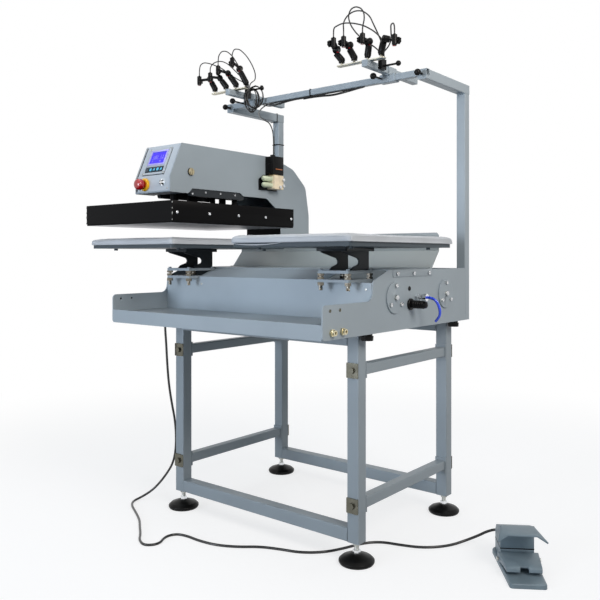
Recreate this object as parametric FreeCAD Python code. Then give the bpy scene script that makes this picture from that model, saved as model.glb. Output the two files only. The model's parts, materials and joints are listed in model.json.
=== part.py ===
"""Twin-station pneumatic heat press on a tube stand, with a shuttling head, a laser gantry
and a foot pedal.

Millimetres. +Z is up, the front faces -Y, +X is to the right of someone who stands in front.
The origin is on the floor, at the middle of the four stand feet.
"""
import FreeCAD, Part
import math
import os

V = FreeCAD.Vector

# Stand: square tube frame
TUBE = 38.0
TUBE_WALL = 2.0
TUBE_CORNER = 4.0
STAND_W = 729.0
STAND_D = 536.0
LEG_BOTTOM = 57.5
BASE_BOTTOM = 624.0
SIDE_TUBE = 30.0
SIDE_RAIL_LOW_Z = 158.5
SIDE_RAIL_HIGH_Z = 521.5
JOINT_PLATE_W = 37.0
JOINT_PLATE_H = 41.0
JOINT_PLATE_T = 3.5
JOINT_BOLT_AF = 15.0
JOINT_BOLT_H = 5.5
END_PLATE_H = 46.0
END_PLATE_T = 4.0
FIT = 0.05

# Levelling feet
FOOT_R = 49.0
FOOT_EDGE_Z = 10.0
FOOT_DOME_Z = 27.0
FOOT_STEM_R = 6.0
FOOT_THREAD_DEPTH = 16.0
FOOT_NUT_AF = 19.0
FOOT_NUT_T = 8.0

# Base cabinet
BASE_HALF_W = 409.5
PANEL_T = 4.0
SHEET = 2.0
BASE_FRONT = -485.5
HOUSING_FRONT = -268.0
BASE_REAR = 272.0
BASE_TOP = 790.0
TRAY_WING_Z = 709.7
TRAY_FLOOR_Z = 657.0
TRAY_LIP_Z = 663.0
CHAMFER_Z = 763.3
CHAMFER_Y = -190.0
TOP_COVER_REAR = 52.0

# Guide shafts and carriage
SHAFT_R = 15.0
SHAFT_Z = 715.0
SHAFT_FRONT_Y = -159.0
SHAFT_REAR_Y = 134.0
END_COVER_R = 44.0
END_COVER_T = 4.0
CARRIAGE_HALF_W = 85.0
CARRIAGE_TOP = 760.0
CARRIAGE_T = 12.0
BLOCK_HALF = 25.0
BUSH_R = 20.0
BUSH_L = 42.0
DRIVE_Y = -12.0
DRIVE_Z = 671.0
DRIVE_R = 20.0

# Stations and platens
STATION_X = 308.6
PAD_W = 398.5
PAD_D = 517.0
PAD_FRONT = -505.7
PAD_TOP = 885.6
PAD_T = 23.0
SOFT_GAP = 0.3
PLATEN_T = 10.0
PLATEN_INSET = 10.0
UPPER_W = 408.5
UPPER_D = 540.6
UPPER_FRONT = -509.0
UPPER_BOTTOM = 928.4
UPPER_TOP = 987.2
HEATER_BOTTOM = 924.0
HEATER_T = 26.0
PRESS_STROKE = 38.0

# Pedestals under the lower platens
YOKE_HALF_W = 37.5
YOKE_PLATE_T = 5.0
YOKE_FRONT = -317.0
YOKE_REAR = -190.0
MOUNT_PLATE_HALF_W = 52.0
MOUNT_PLATE_FRONT = -308.0
MOUNT_PLATE_T = 8.0
LOWER_PLATE_TOP = 766.0
UPPER_PLATE_TOP = 790.0
YOKE_FLANGE_T = 10.0
STUD_R = 5.0
STUD_INSET = 7.0
STUD_NUT_AF = 17.0
SHELF_T = 5.0

# Head: a sheet-metal C frame on the carriage
HEAD_HALF_W = 82.5
HEAD_SHEET = 3.0
HEAD_FRONT = -411.2
HEAD_KNEE_Z = 1072.7
HEAD_BOTTOM = 1024.3
HEAD_TOP_FRONT = -365.2
HEAD_TOP = 1178.0
HEAD_REAR_BOTTOM = 1030.5
NOTCH_FRONT = -319.8
NOTCH_REAR = -105.6
NOTCH_Z = 1040.6
COLUMN_FRONT = 104.0
COLUMN_REAR = 267.0
FRONT_RECESS = 4.0
GUIDE_BEAM_BOTTOM = 1017.0
GUIDE_BEAM_W = 14.0
GUIDE_PLATE_BOTTOM = 1034.0
GUIDE_PLATE_TOP = 1066.0
GUIDE_FRONT = -345.0
GUIDE_BEAM_FRONT = -322.0
GUIDE_REAR = -84.0
PRESS_ROD_Y = -245.0
PRESS_ROD_R = 18.0
CYLINDER_R = 48.0
CYLINDER_BORE_R = 42.0
CYLINDER_TOP = 1160.0

# Gantry
GANTRY_TUBE = 30.7
GANTRY_TOP = 1382.0
GANTRY_FRONT = 19.0
CROSSBAR = 20.0
BALL_R = 10.0
LASER_RIGHT_X = 276.0
LASER_LEFT_X = -295.0
LASER_RIGHT_FRONT = -104.0
LASER_LEFT_FRONT = -92.0
LASER_ARM_L = 288.0
STRIP_L = 168.0
STRIP_W = 20.0
STRIP_T = 3.0

# Foot pedal, turned on the floor to face the operator
PEDAL_X = 702.0
PEDAL_Y = -9.6
PEDAL_TURN = 33.4
PEDAL_L = 236.0
PEDAL_HALF_W = 46.0
PEDAL_REAR_HALF_W = 54.0
PEDAL_BASE_T = 12.0
PEDAL_BODY_HALF_W = 44.2
PEDAL_BODY_FRONT = 25.0
PEDAL_BODY_REAR = 104.0
PEDAL_HOOD_Z = 106.0
TREADLE_PIVOT_Y = 8.0
TREADLE_PIVOT_Z = 22.0
TREADLE_PIN_R = 3.0
TREADLE_WALL = 4.5
CORD_R = 3.75
CORD_EXIT_X = -384.0
CORD_EXIT_Z = 642.0
CORD_START_Y = -243.0
CORD_IN_X = -22.0
CORD_IN_Z = 48.0
CORD_GLAND_L = 7.0

# Holes and fittings of the cabinet sides, as (y, z)
WING_HOLES = [(-455.9, 695.4), (-414.5, 695.4)]
WING_HOLE_R = 3.5
PASS_HOLE = (-79.3, 737.1)
PASS_HOLE_R = 5.0
GLAND = (-76.0, 692.5)
INLET = (-42.0, 711.0)
TRAY_FITTINGS = [(-449.8, 642.0), (-406.0, 642.0)]
SILENCER_R = 13.5
SILENCER_L = 50.0
COUPLING_L = 36.0
HOSE_R = 4.0

# Buttons on the head's front
ESTOP_X = -347.0
ESTOP_Z = 1052.0
START_X = -265.4
START_Z = 1055.0

# Guide rods of the press, as (right of the head's middle, y, radius)
GUIDE_RODS = [(0.0, -322.0, 13.0), (0.0, -107.0, 12.0), (52.0, -102.0, 9.0), (-52.0, -102.0, 9.0)]

# Saddles on the crossbar; each knob as (right of the middle, reach)
SADDLE_HALF_L = 27.0
SADDLE_HALF_D = 22.0
SADDLE_WALL = 3.0
SADDLE_KNOB = {1: (-20.0, 46.0), -1: (-24.0, 62.0)}

# One laser each: post, knuckle and barrel, as steps right of the arm's middle, behind its front
# end and above its top, and the side that its star knob is on
LASERS = {
    1: [(-98, (-106, 5, 50), (-104, -14, 65), -1), (-52, (-60, 5, 54), (-67, -14, 62), -1),
        (-4, (9, 5, 52), (1, -15, 58), -1), (43, (69, 5, 49), (109, -15, 34), 1)],
    -1: [(-95, (-106, 16, 52), (-137, -6, 48), -1), (-40, (-56, 16, 49), (-82, -6, 52), -1),
         (8, (-16, 16, 59), (-43, -6, 70), -1), (55, (39, 16, 66), (25, -6, 86), -1)],
}
STRIP_MIDDLE = {1: (-28.0, 20.0), -1: (-22.5, 30.0)}
POST_TOP = 11.0
EYE_R = 9.0
EYE_T = 8.0
BARREL_R = 7.0
BARREL_UP = 14.0
BARREL_DOWN = 16.0
LEAD_R = 1.6
CLAMP_STEP = {1: 54.0, -1: 72.0}
CLAMP_W = {1: 14.0, -1: 7.0}
CLAMP_D = 26.0
CLAMP_UP = 12.0
CLAMP_STUD_R = 3.0
CLAMP_STUD_L = {1: 72.0, -1: 78.0}

# Each lead: its place in the clamp, how far it runs straight up at either end, and the points
# between, as steps like those of the lasers
LEAD_PATHS = {
    1: [(1, 17, 18, [(-96, -22, 108), (-66, -22, 115), (-34, -18, 110), (-2, -4, 100), (26, 12, 80),
                     (42, 28, 58), (38, 48, 40)]),
        (3, 18, 20, [(-74, -6, 122), (-62, -2, 142), (-38, 0, 151), (-12, 4, 147), (8, 12, 130),
                     (15, 22, 106), (19, 40, 82), (20, 60, 58)]),
        (0, 16, 18, [(12, -22, 110), (13, -25, 128), (2, -25, 144), (-18, -24, 153), (-38, -20, 150),
                     (-52, -12, 134), (-49, -4, 110), (-35, 8, 84), (-14, 24, 62), (6, 42, 46)]),
        (2, 20, 20, [(104, -12, 84), (90, -4, 84), (82, 10, 66), (74, 26, 52), (50, 48, 40)])],
    -1: [(0, 19, 18, [(-124, -14, 100), (-102, -18, 104), (-78, -16, 98), (-60, -4, 90), (-46, 14, 82),
                      (-26, 30, 62), (-2, 52, 42)]),
         (1, 18, 20, [(-74, 2, 102), (-54, 6, 106), (-34, 9, 102), (-17, 16, 92), (-5, 30, 76),
                      (2, 48, 60), (8, 66, 46)]),
         (2, 17, 20, [(-34, -12, 118), (-14, -18, 128), (6, -14, 126), (17, 2, 112), (19, 26, 88),
                      (18, 50, 64), (16, 72, 46)]),
         (3, 12, 20, [(34, -6, 130), (56, -2, 126), (80, 6, 102), (97, 14, 72), (100, 28, 46), (84, 46, 32),
                     (60, 68, 33), (36, 86, 37)])],
}
RUN_R = 2.2

# Spare lead wound over the left clamp's stud
COIL_TURNS = 3
COIL_HALF_W = 29.0
COIL_HALF_H = 38.5
COIL_PITCH = 4.1
COIL_TURN = 31.0
COIL_SIDE = 47.5
COIL_LIFT = 7.7

# The four legs: name, side and end
LEGS = [("front_left", -1, -1), ("front_right", 1, -1), ("rear_left", -1, 1), ("rear_right", 1, 1)]

# Worked out from the sizes above
PANEL_Y = HEAD_FRONT + FRONT_RECESS
HALF_W = STAND_W / 2
HALF_D = STAND_D / 2
INNER_X = BASE_HALF_W - PANEL_T
PAD_BOTTOM = PAD_TOP - PAD_T
PLATEN_TOP = PAD_BOTTOM - SOFT_GAP
PLATEN_BOTTOM = PLATEN_TOP - PLATEN_T
ARM_TOP = GANTRY_TOP + 2 * FIT + CROSSBAR


def box(x0, x1, y0, y1, z0, z1):
    """An upright block between two corners."""
    return Part.makeBox(x1 - x0, y1 - y0, z1 - z0, V(x0, y0, z0))


def rod(radius, start, end):
    """A round bar from one point to another."""
    line = end - start
    return Part.makeCylinder(radius, line.Length, start, line)


def ring(outer, inner, start, end):
    """A round tube from one point to another."""
    line = end - start
    reach = line.normalize()
    return rod(outer, start, end).cut(rod(inner, start - reach, end + reach))


def fuse(shapes):
    """One solid from pieces that overlap or touch."""
    return shapes[0].multiFuse(shapes[1:]).removeSplitter()


def group(solids):
    """Separate solids that share one node."""
    return Part.makeCompound(solids)


def yz(x):
    """Lift an (y, z) pair into the plane across X."""
    return lambda a, b: V(x, a, b)


def xz(y):
    return lambda a, b: V(a, y, b)


def xy(z):
    return lambda a, b: V(a, b, z)


def outline(corners, lift):
    """A closed wire through corners given as (a, b) or (a, b, radius)."""
    count = len(corners)
    pieces = []
    for index in range(count):
        here = corners[index]
        before = corners[index - 1]
        after = corners[(index + 1) % count]
        point = V(here[0], here[1], 0)
        radius = here[2] if len(here) > 2 else 0.0
        if radius == 0.0:
            pieces.append((point, None, point))
            continue
        back = (V(before[0], before[1], 0) - point).normalize()
        ahead = (V(after[0], after[1], 0) - point).normalize()
        half = back.getAngle(ahead) / 2
        reach = radius / math.tan(half)
        inward = (back + ahead).normalize()
        centre = point + inward * (radius / math.sin(half))
        pieces.append((point + back * reach, centre - inward * radius, point + ahead * reach))
    edges = []
    for index in range(count):
        start, middle, end = pieces[index]
        following = pieces[(index + 1) % count][0]
        if middle is not None:
            edges.append(Part.Arc(lift(start.x, start.y), lift(middle.x, middle.y),
                                  lift(end.x, end.y)).toShape())
        if (following - end).Length > 1e-6:
            edges.append(Part.LineSegment(lift(end.x, end.y),
                                          lift(following.x, following.y)).toShape())
    return Part.Wire(edges)


def slab_x(corners, x0, x1):
    """An outline in Y and Z pushed along X."""
    return Part.Face(outline(corners, yz(x0))).extrude(V(x1 - x0, 0, 0))


def slab_y(corners, y0, y1):
    return Part.Face(outline(corners, xz(y0))).extrude(V(0, y1 - y0, 0))


def slab_z(corners, z0, z1):
    return Part.Face(outline(corners, xy(z0))).extrude(V(0, 0, z1 - z0))


def bent_sheet(bends, thickness, x0, x1):
    """A folded sheet, long in X, from the (y, z) line of its outer face."""
    inner = []
    count = len(bends)
    for index in range(count):
        here = V(bends[index][0], bends[index][1], 0)
        normals = []
        for a, b in ((index - 1, index), (index, index + 1)):
            if a < 0 or b >= count:
                continue
            along = V(bends[b][0] - bends[a][0], bends[b][1] - bends[a][1], 0).normalize()
            normals.append(V(along.y, -along.x, 0))
        if len(normals) == 1:
            offset = normals[0] * thickness
        else:
            mitre = (normals[0] + normals[1]).normalize()
            offset = mitre * (thickness / mitre.dot(normals[0]))
        inner.append((here.x + offset.x, here.y + offset.y))
    return slab_x([tuple(p) for p in bends] + inner[::-1], x0, x1)


def square(half, corner, centre_a=0.0, centre_b=0.0):
    """Corners of a rounded square."""
    return [(centre_a + sa * half, centre_b + sb * half, corner)
            for sa, sb in ((-1, -1), (1, -1), (1, 1), (-1, 1))]


def hexagon(flats, centre_a, centre_b):
    """Corners of a hexagon across its flats."""
    reach = flats / math.sqrt(3)
    return [(centre_a + reach * math.cos(math.radians(60 * k)),
             centre_b + reach * math.sin(math.radians(60 * k))) for k in range(6)]


def tube_z(x, y, size, wall, corner, z0, z1):
    """An upright square tube about the line x, y."""
    outer = slab_z(square(size / 2, corner, x, y), z0, z1)
    inner = slab_z(square(size / 2 - wall, corner / 2, x, y), z0 - 1, z1 + 1)
    return outer.cut(inner)


def tube_x(y, z, size, wall, corner, x0, x1):
    outer = slab_x(square(size / 2, corner, y, z), x0, x1)
    inner = slab_x(square(size / 2 - wall, corner / 2, y, z), x0 - 1, x1 + 1)
    return outer.cut(inner)


def tube_y(x, z, size, wall, corner, y0, y1):
    outer = slab_y(square(size / 2, corner, x, z), y0, y1)
    inner = slab_y(square(size / 2 - wall, corner / 2, x, z), y0 - 1, y1 + 1)
    return outer.cut(inner)


def cable_radii(route):
    """The largest arc at each inner point of a route."""
    radii = []
    for index in range(1, len(route) - 1):
        back = route[index - 1] - route[index]
        ahead = route[index + 1] - route[index]
        turn = math.pi - back.getAngle(ahead)
        shorter = min(back.Length, ahead.Length)
        radii.append(0.45 * shorter / math.tan(turn / 2))
    return radii


def cable(name, route, radius):
    """A round tube along straight runs joined by tangent arcs."""
    radii = cable_radii(route)
    edges = []
    start = route[0]
    for index, bend in enumerate(radii, 1):
        here = route[index]
        back = (route[index - 1] - here).normalize()
        ahead = (route[index + 1] - here).normalize()
        half = back.getAngle(ahead) / 2
        reach = bend / math.tan(half)
        inward = (back + ahead).normalize()
        middle = here + inward * (bend / math.sin(half) - bend)
        edges.append(Part.LineSegment(start, here + back * reach).toShape())
        edges.append(Part.Arc(here + back * reach, middle, here + ahead * reach).toShape())
        start = here + ahead * reach
    edges.append(Part.LineSegment(start, route[-1]).toShape())
    path = Part.Wire(edges)
    heading = route[1] - route[0]
    mouth = Part.Wire([Part.Circle(route[0], heading, radius).toShape()])
    solid = path.makePipeShell([mouth], True, False)
    section = math.pi * radius * radius
    print(name, "length", round(path.Length), "tightest radius", round(min(radii), 1),
          "volume against section times length", round(solid.Volume / (section * path.Length), 4))
    return solid


def ball_knob(x, y_face, z, stem_r, reach):
    """A ball on a stud that screws towards +Y into a face."""
    ball = Part.makeSphere(BALL_R, V(x, y_face - reach, z))
    stem = rod(stem_r, V(x, y_face - reach, z), V(x, y_face - FIT, z))
    return fuse([ball, stem])


def leg_centre(side, end):
    return side * (HALF_W - TUBE / 2), end * (HALF_D - TUBE / 2)


def stand_legs():
    """Four legs of square tube, each closed below by a threaded plate for its foot."""
    legs = []
    for _, side, end in LEGS:
        x, y = leg_centre(side, end)
        leg = tube_z(x, y, TUBE, TUBE_WALL, TUBE_CORNER, LEG_BOTTOM, BASE_BOTTOM)
        plug = slab_z(square(TUBE / 2 - TUBE_WALL, TUBE_CORNER / 2, x, y),
                      LEG_BOTTOM, LEG_BOTTOM + FOOT_THREAD_DEPTH)
        hole = rod(FOOT_STEM_R + FIT, V(x, y, LEG_BOTTOM - 1), V(x, y, LEG_BOTTOM + FOOT_THREAD_DEPTH + 1))
        legs.append(fuse([leg, plug.cut(hole)]))
    return group(legs)


def stand_rails():
    """Rails welded between the legs, and lighter side rails with an end plate for each bolt."""
    rails = []
    inner_x = HALF_W - TUBE
    inner_y = HALF_D - TUBE
    half = TUBE / 2
    for end in (-1, 1):
        y = end * (HALF_D - half)
        for z in (LEG_BOTTOM + half, BASE_BOTTOM - half):
            rails.append(tube_x(y, z, TUBE, TUBE_WALL, TUBE_CORNER, -inner_x, inner_x))
    for side in (-1, 1):
        x = side * (HALF_W - half)
        for z in (SIDE_RAIL_LOW_Z, SIDE_RAIL_HIGH_Z):
            reach = inner_y - END_PLATE_T
            pieces = [tube_y(x, z, SIDE_TUBE, TUBE_WALL, TUBE_CORNER, -reach, reach)]
            for near in (-inner_y, reach):
                pieces.append(box(x - JOINT_PLATE_W / 2, x + JOINT_PLATE_W / 2, near, near + END_PLATE_T,
                                  z - END_PLATE_H / 2, z + END_PLATE_H / 2))
            rails.append(fuse(pieces))
    return group(rails)


def stand_joint_plates():
    """Plated washers with a hex bolt, on the legs where the side rails are bolted."""
    plates = []
    half_w = JOINT_PLATE_W / 2
    half_h = JOINT_PLATE_H / 2
    for _, side, end in LEGS:
        x, y = leg_centre(side, end)
        face = end * HALF_D
        for z in (SIDE_RAIL_LOW_Z, SIDE_RAIL_HIGH_Z):
            near = min(face, face + end * JOINT_PLATE_T)
            plate = slab_y([(x - half_w, z - half_h, 2), (x + half_w, z - half_h, 2),
                            (x + half_w, z + half_h, 2), (x - half_w, z + half_h, 2)],
                           near, near + JOINT_PLATE_T)
            head_start = face + end * JOINT_PLATE_T
            head_end = head_start + end * JOINT_BOLT_H
            head = slab_y(hexagon(JOINT_BOLT_AF, x, z), min(head_start, head_end), max(head_start, head_end))
            plates.append(fuse([plate, head]))
    return group(plates)


def foot(side, end):
    """A domed rubber foot with a threaded stem and a lock nut."""
    x, y = leg_centre(side, end)
    profile = [(0.0, 0.0), (FOOT_R - 3, 0.0, 2.0), (FOOT_R, FOOT_EDGE_Z / 2, 2.0),
               (FOOT_R, FOOT_EDGE_Z, 3.0), (FOOT_R - 8, FOOT_EDGE_Z + 7, 6.0),
               (FOOT_R * 0.55, FOOT_DOME_Z - 5, 8.0), (FOOT_STEM_R + 8, FOOT_DOME_Z, 2.0),
               (0.0, FOOT_DOME_Z)]
    face = Part.Face(outline(profile, lambda a, b: V(x + a, y, b)))
    dome = face.revolve(V(x, y, 0), V(0, 0, 1), 360)
    stem = rod(FOOT_STEM_R, V(x, y, FOOT_DOME_Z - 5), V(x, y, LEG_BOTTOM + FOOT_THREAD_DEPTH - 2))
    nut_top = LEG_BOTTOM - FIT
    nut = slab_z(hexagon(FOOT_NUT_AF, x, y), nut_top - FOOT_NUT_T, nut_top)
    return fuse([dome, stem, nut])


def side_panel_profile():
    """The stepped outline of a cabinet side, with the low wing beside the tray."""
    wing_rear = HOUSING_FRONT - 2.0
    return [(BASE_FRONT, BASE_BOTTOM, 8), (BASE_REAR, BASE_BOTTOM, 3), (BASE_REAR, BASE_TOP, 3),
            (CHAMFER_Y, BASE_TOP, 6), (HOUSING_FRONT + 4, CHAMFER_Z, 10),
            (wing_rear, TRAY_WING_Z, 24), (BASE_FRONT, TRAY_WING_Z, 12)]


def side_panel(side):
    """A cabinet side with holes for the shaft ends, wing screws and a cable."""
    low = min(side * INNER_X, side * BASE_HALF_W)
    panel = slab_x(side_panel_profile(), low, low + PANEL_T)
    reach = side * (BASE_HALF_W + PANEL_T)
    inside = side * (INNER_X - PANEL_T)
    for y in (SHAFT_FRONT_Y, SHAFT_REAR_Y):
        panel = panel.cut(rod(SHAFT_R + FIT, V(inside, y, SHAFT_Z), V(reach, y, SHAFT_Z)))
    for y, z in WING_HOLES:
        panel = panel.cut(rod(WING_HOLE_R, V(inside, y, z), V(reach, y, z)))
    if side > 0:
        y, z = PASS_HOLE
        panel = panel.cut(rod(PASS_HOLE_R, V(inside, y, z), V(reach, y, z)))
    return panel


def front_housing():
    """The folded front cover, cut back at both ends for the platen pedestals."""
    bends = [(HOUSING_FRONT, TRAY_FLOOR_Z), (HOUSING_FRONT, CHAMFER_Z), (CHAMFER_Y, BASE_TOP)]
    sheet = bent_sheet(bends, SHEET, -INNER_X, INNER_X)
    shelf_top = LOWER_PLATE_TOP - MOUNT_PLATE_T
    cut_at = STATION_X - MOUNT_PLATE_HALF_W - 2.0
    pieces = [sheet]
    for side in (-1, 1):
        low, high = sorted((side * cut_at, side * (INNER_X + 5)))
        sheet = sheet.cut(box(low, high, HOUSING_FRONT - 5, CHAMFER_Y + 1, shelf_top, BASE_TOP + 5))
        low, high = sorted((side * (cut_at - 20), side * INNER_X))
        shelf = box(low, high, HOUSING_FRONT + SHEET, CHAMFER_Y + 2, shelf_top - SHELF_T, shelf_top)
        for sx, sy in stud_places(side):
            shelf = shelf.cut(rod(STUD_R + FIT, V(sx, sy, shelf_top - 20), V(sx, sy, shelf_top + 5)))
        pieces.append(shelf)
    pieces[0] = sheet
    return fuse(pieces)


def tray_shelf():
    """The tool tray: a floor with a turned-down apron and a low lip along the front."""
    apron_rear = BASE_FRONT + SHEET
    apron = box(-INNER_X, INNER_X, BASE_FRONT, apron_rear, BASE_BOTTOM, TRAY_LIP_Z)
    floor = box(-INNER_X, INNER_X, apron_rear, HOUSING_FRONT, TRAY_FLOOR_Z - SHEET, TRAY_FLOOR_Z)
    hem = box(-INNER_X, INNER_X, apron_rear, apron_rear + 18, BASE_BOTTOM, BASE_BOTTOM + SHEET)
    return fuse([apron, floor, hem])


def base_pan():
    """Cabinet floor and back folded from one sheet, cooling slots, and the gland of the pedal cord."""
    floor = box(-INNER_X, INNER_X, HOUSING_FRONT, BASE_REAR, BASE_BOTTOM, BASE_BOTTOM + SHEET)
    back = box(-INNER_X, INNER_X, BASE_REAR - SHEET, BASE_REAR, BASE_BOTTOM + SHEET, BASE_TOP)
    front = box(-INNER_X, INNER_X, HOUSING_FRONT, HOUSING_FRONT + SHEET,
                BASE_BOTTOM + SHEET, TRAY_FLOOR_Z - SHEET)
    mouth = V(CORD_EXIT_X, HOUSING_FRONT - 4.0, CORD_EXIT_Z)
    cord_end = V(CORD_EXIT_X, CORD_START_Y, CORD_EXIT_Z)
    gland = rod(CORD_R + 5.0, mouth, cord_end + V(0, 4, 0))
    pan = fuse([floor, back, front, gland])
    pan = pan.cut(rod(CORD_R + FIT, mouth - V(0, 1, 0), cord_end))
    slot_l = 60.0
    for column in range(-1, 2):
        for row in range(5):
            x = column * 90.0
            z = BASE_BOTTOM + 40.0 + row * 12.0
            pan = pan.cut(box(x - slot_l / 2, x + slot_l / 2, BASE_REAR - 5, BASE_REAR + 5, z, z + 4))
    return pan


def base_top_cover():
    """The removable cabinet top, with a flange folded down over each side and three screws."""
    flange_front = -168.0
    flange_z = 771.0
    plate = box(-BASE_HALF_W, BASE_HALF_W, CHAMFER_Y + 2, TOP_COVER_REAR, BASE_TOP, BASE_TOP + SHEET)
    pieces = [plate]
    for side in (-1, 1):
        inner = side * BASE_HALF_W
        outer = side * (BASE_HALF_W + SHEET)
        low, high = min(inner, outer), max(inner, outer)
        pieces.append(slab_x([(flange_front, flange_z, 4), (TOP_COVER_REAR - 2, flange_z, 4),
                              (TOP_COVER_REAR - 2, BASE_TOP + SHEET), (flange_front, BASE_TOP + SHEET)],
                             low, high))
        for step in range(3):
            y = flange_front + 20.0 + step * 88.0
            pieces.append(rod(4.0, V(outer, y, flange_z + 9), V(outer + side * 2.0, y, flange_z + 9)))
    return fuse(pieces)


def rail_guard():
    """The bent guard in front of the slot that the head travels in."""
    foot_z = BASE_TOP + SHEET
    slope_y = TOP_COVER_REAR - 2.0
    face_y = slope_y + 45.0
    bend_z = 845.0
    top_z = 900.0
    corner = 9.0
    mitre = 0.8
    profile = [(slope_y - 14, foot_z), (slope_y + SHEET, foot_z), (face_y + SHEET, bend_z - mitre),
               (face_y + SHEET, top_z), (face_y, top_z), (face_y, bend_z),
               (slope_y + mitre, foot_z + SHEET), (slope_y - 14, foot_z + SHEET)]
    sheet = slab_x(profile, -BASE_HALF_W, BASE_HALF_W)
    for side in (-1, 1):
        edge = side * (BASE_HALF_W + 1)
        clipped = [(edge, top_z + 1), (edge, top_z - corner), (edge - side * corner, top_z + 1)]
        sheet = sheet.cut(slab_y(clipped, face_y - 5, face_y + 5))
    return sheet


def guide_shafts():
    """Two ground steel shafts that carry the head's carriage."""
    return group([rod(SHAFT_R, V(-INNER_X, y, SHAFT_Z), V(INNER_X, y, SHAFT_Z))
                  for y in (SHAFT_FRONT_Y, SHAFT_REAR_Y)])


def shaft_end_covers():
    """Round covers that clamp each shaft end through the cabinet side."""
    covers = []
    for side in (-1, 1):
        face = side * BASE_HALF_W
        for y in (SHAFT_FRONT_Y, SHAFT_REAR_Y):
            outer = face + side * END_COVER_T
            disc = rod(END_COVER_R, V(face, y, SHAFT_Z), V(outer, y, SHAFT_Z))
            boss = rod(SHAFT_R, V(side * INNER_X, y, SHAFT_Z), V(face, y, SHAFT_Z))
            bolt = rod(7.0, V(outer, y, SHAFT_Z), V(outer + side * 5, y, SHAFT_Z))
            pieces = [disc, boss, bolt]
            for angle in (90, 215, 325):
                a = y + 33.0 * math.cos(math.radians(angle))
                b = SHAFT_Z + 33.0 * math.sin(math.radians(angle))
                pieces.append(rod(4.5, V(outer, a, b), V(outer + side * 3, a, b)))
            covers.append(fuse(pieces))
    return group(covers)


def drive_cylinder():
    """The rodless air cylinder that pushes the carriage from station to station."""
    end_l = 24.0
    end_half = 26.0
    barrel = rod(DRIVE_R, V(-INNER_X + end_l, DRIVE_Y, DRIVE_Z), V(INNER_X - end_l, DRIVE_Y, DRIVE_Z))
    pieces = [barrel]
    for side in (-1, 1):
        wall = side * INNER_X
        face = side * (INNER_X - end_l)
        low, high = min(wall, face), max(wall, face)
        pieces.append(slab_x(square(end_half, 5, DRIVE_Y, DRIVE_Z), low, high))
    return fuse(pieces)


def base_rubber_feet():
    """Four rubber feet under the cabinet, outboard of the stand."""
    feet = []
    radius = 17.0
    for side in (-1, 1):
        for y in (HOUSING_FRONT + 12.0, BASE_REAR - 32.0):
            x = side * (HALF_W + radius + 3.0)
            upper = rod(radius - 3, V(x, y, BASE_BOTTOM - 8), V(x, y, BASE_BOTTOM))
            lower = Part.makeCone(radius - 1, radius, 12, V(x, y, BASE_BOTTOM - 20), V(0, 0, 1))
            feet.append(fuse([upper, lower]))
    return group(feet)


def air_fittings():
    """Exhaust silencer, supply coupling and two bulkhead fittings on the right side."""
    face = BASE_HALF_W
    gy, gz = GLAND
    collar = face + 7
    end = face + SILENCER_L
    silencer = fuse([rod(SILENCER_R + 4.5, V(face, gy, gz), V(collar, gy, gz)),
                     rod(SILENCER_R, V(collar, gy, gz), V(end, gy, gz)),
                     Part.makeCone(SILENCER_R, SILENCER_R - 2.5, 5, V(end, gy, gz), V(1, 0, 0))])
    iy, iz = INLET
    coupling = fuse([rod(6.0, V(face, iy, iz), V(face + 12, iy, iz)),
                     rod(9.0, V(face + 12, iy, iz), V(face + 26, iy, iz)),
                     rod(10.5, V(face + 26, iy, iz), V(face + COUPLING_L, iy, iz))])
    fittings = [silencer, coupling]
    for y, z in TRAY_FITTINGS:
        nut = slab_x(hexagon(17.0, y, z), face, face + 6)
        nose = rod(7.0, V(face + 6, y, z), V(face + 13, y, z))
        fittings.append(fuse([nut, nose]).cut(rod(3.5, V(face + 5, y, z), V(face + 20, y, z))))
    return group(fittings)


def hose_route():
    """The short supply hose: out of the coupling, over and back down beside the cabinet."""
    iy, iz = INLET
    x = BASE_HALF_W + COUPLING_L
    return [V(x, iy, iz), V(x + 14, iy, iz), V(x + 27, iy + 3, iz - 8), V(x + 34, iy + 8, iz - 25),
            V(x + 35, iy + 12, iz - 42), V(x + 29, iy + 16, iz - 57), V(x + 17, iy + 19, iz - 68)]


def supply_hose():
    return cable("supply_hose", hose_route(), HOSE_R)


def yoke(side):
    """A welded pedestal: two C-shaped side plates between a foot plate and a platen flange."""
    x = side * STATION_X
    flange_top = PLATEN_BOTTOM
    flange_bottom = flange_top - YOKE_FLANGE_T
    foot_top = UPPER_PLATE_TOP
    c_shape = [(YOKE_FRONT, flange_bottom), (YOKE_FRONT + 7, flange_bottom - 4, 6),
               (YOKE_FRONT + 76, flange_bottom - 20, 12), (YOKE_FRONT + 86, flange_bottom - 34, 8),
               (YOKE_FRONT + 53, foot_top + 9, 12), (YOKE_FRONT + 42, foot_top),
               (YOKE_REAR, foot_top), (YOKE_REAR, flange_bottom)]
    pieces = []
    for edge in (-1, 1):
        outer = x + edge * YOKE_HALF_W
        inner = x + edge * (YOKE_HALF_W - YOKE_PLATE_T)
        pieces.append(slab_x(c_shape, min(outer, inner), max(outer, inner)))
    pieces.append(slab_z([(x - 50, YOKE_FRONT - 1, 6), (x + 50, YOKE_FRONT - 1, 6),
                          (x + 50, YOKE_REAR + 12, 6), (x - 50, YOKE_REAR + 12, 6)],
                         flange_bottom, flange_top))
    pieces.append(mount_plate(side, foot_top - MOUNT_PLATE_T))
    return fuse(pieces)


def stud_places(side):
    """The four stud centres of one pedestal."""
    half = MOUNT_PLATE_HALF_W - STUD_INSET
    return [(side * STATION_X + edge * half, y)
            for edge in (-1, 1) for y in (MOUNT_PLATE_FRONT + STUD_INSET, YOKE_REAR - STUD_INSET)]


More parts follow.
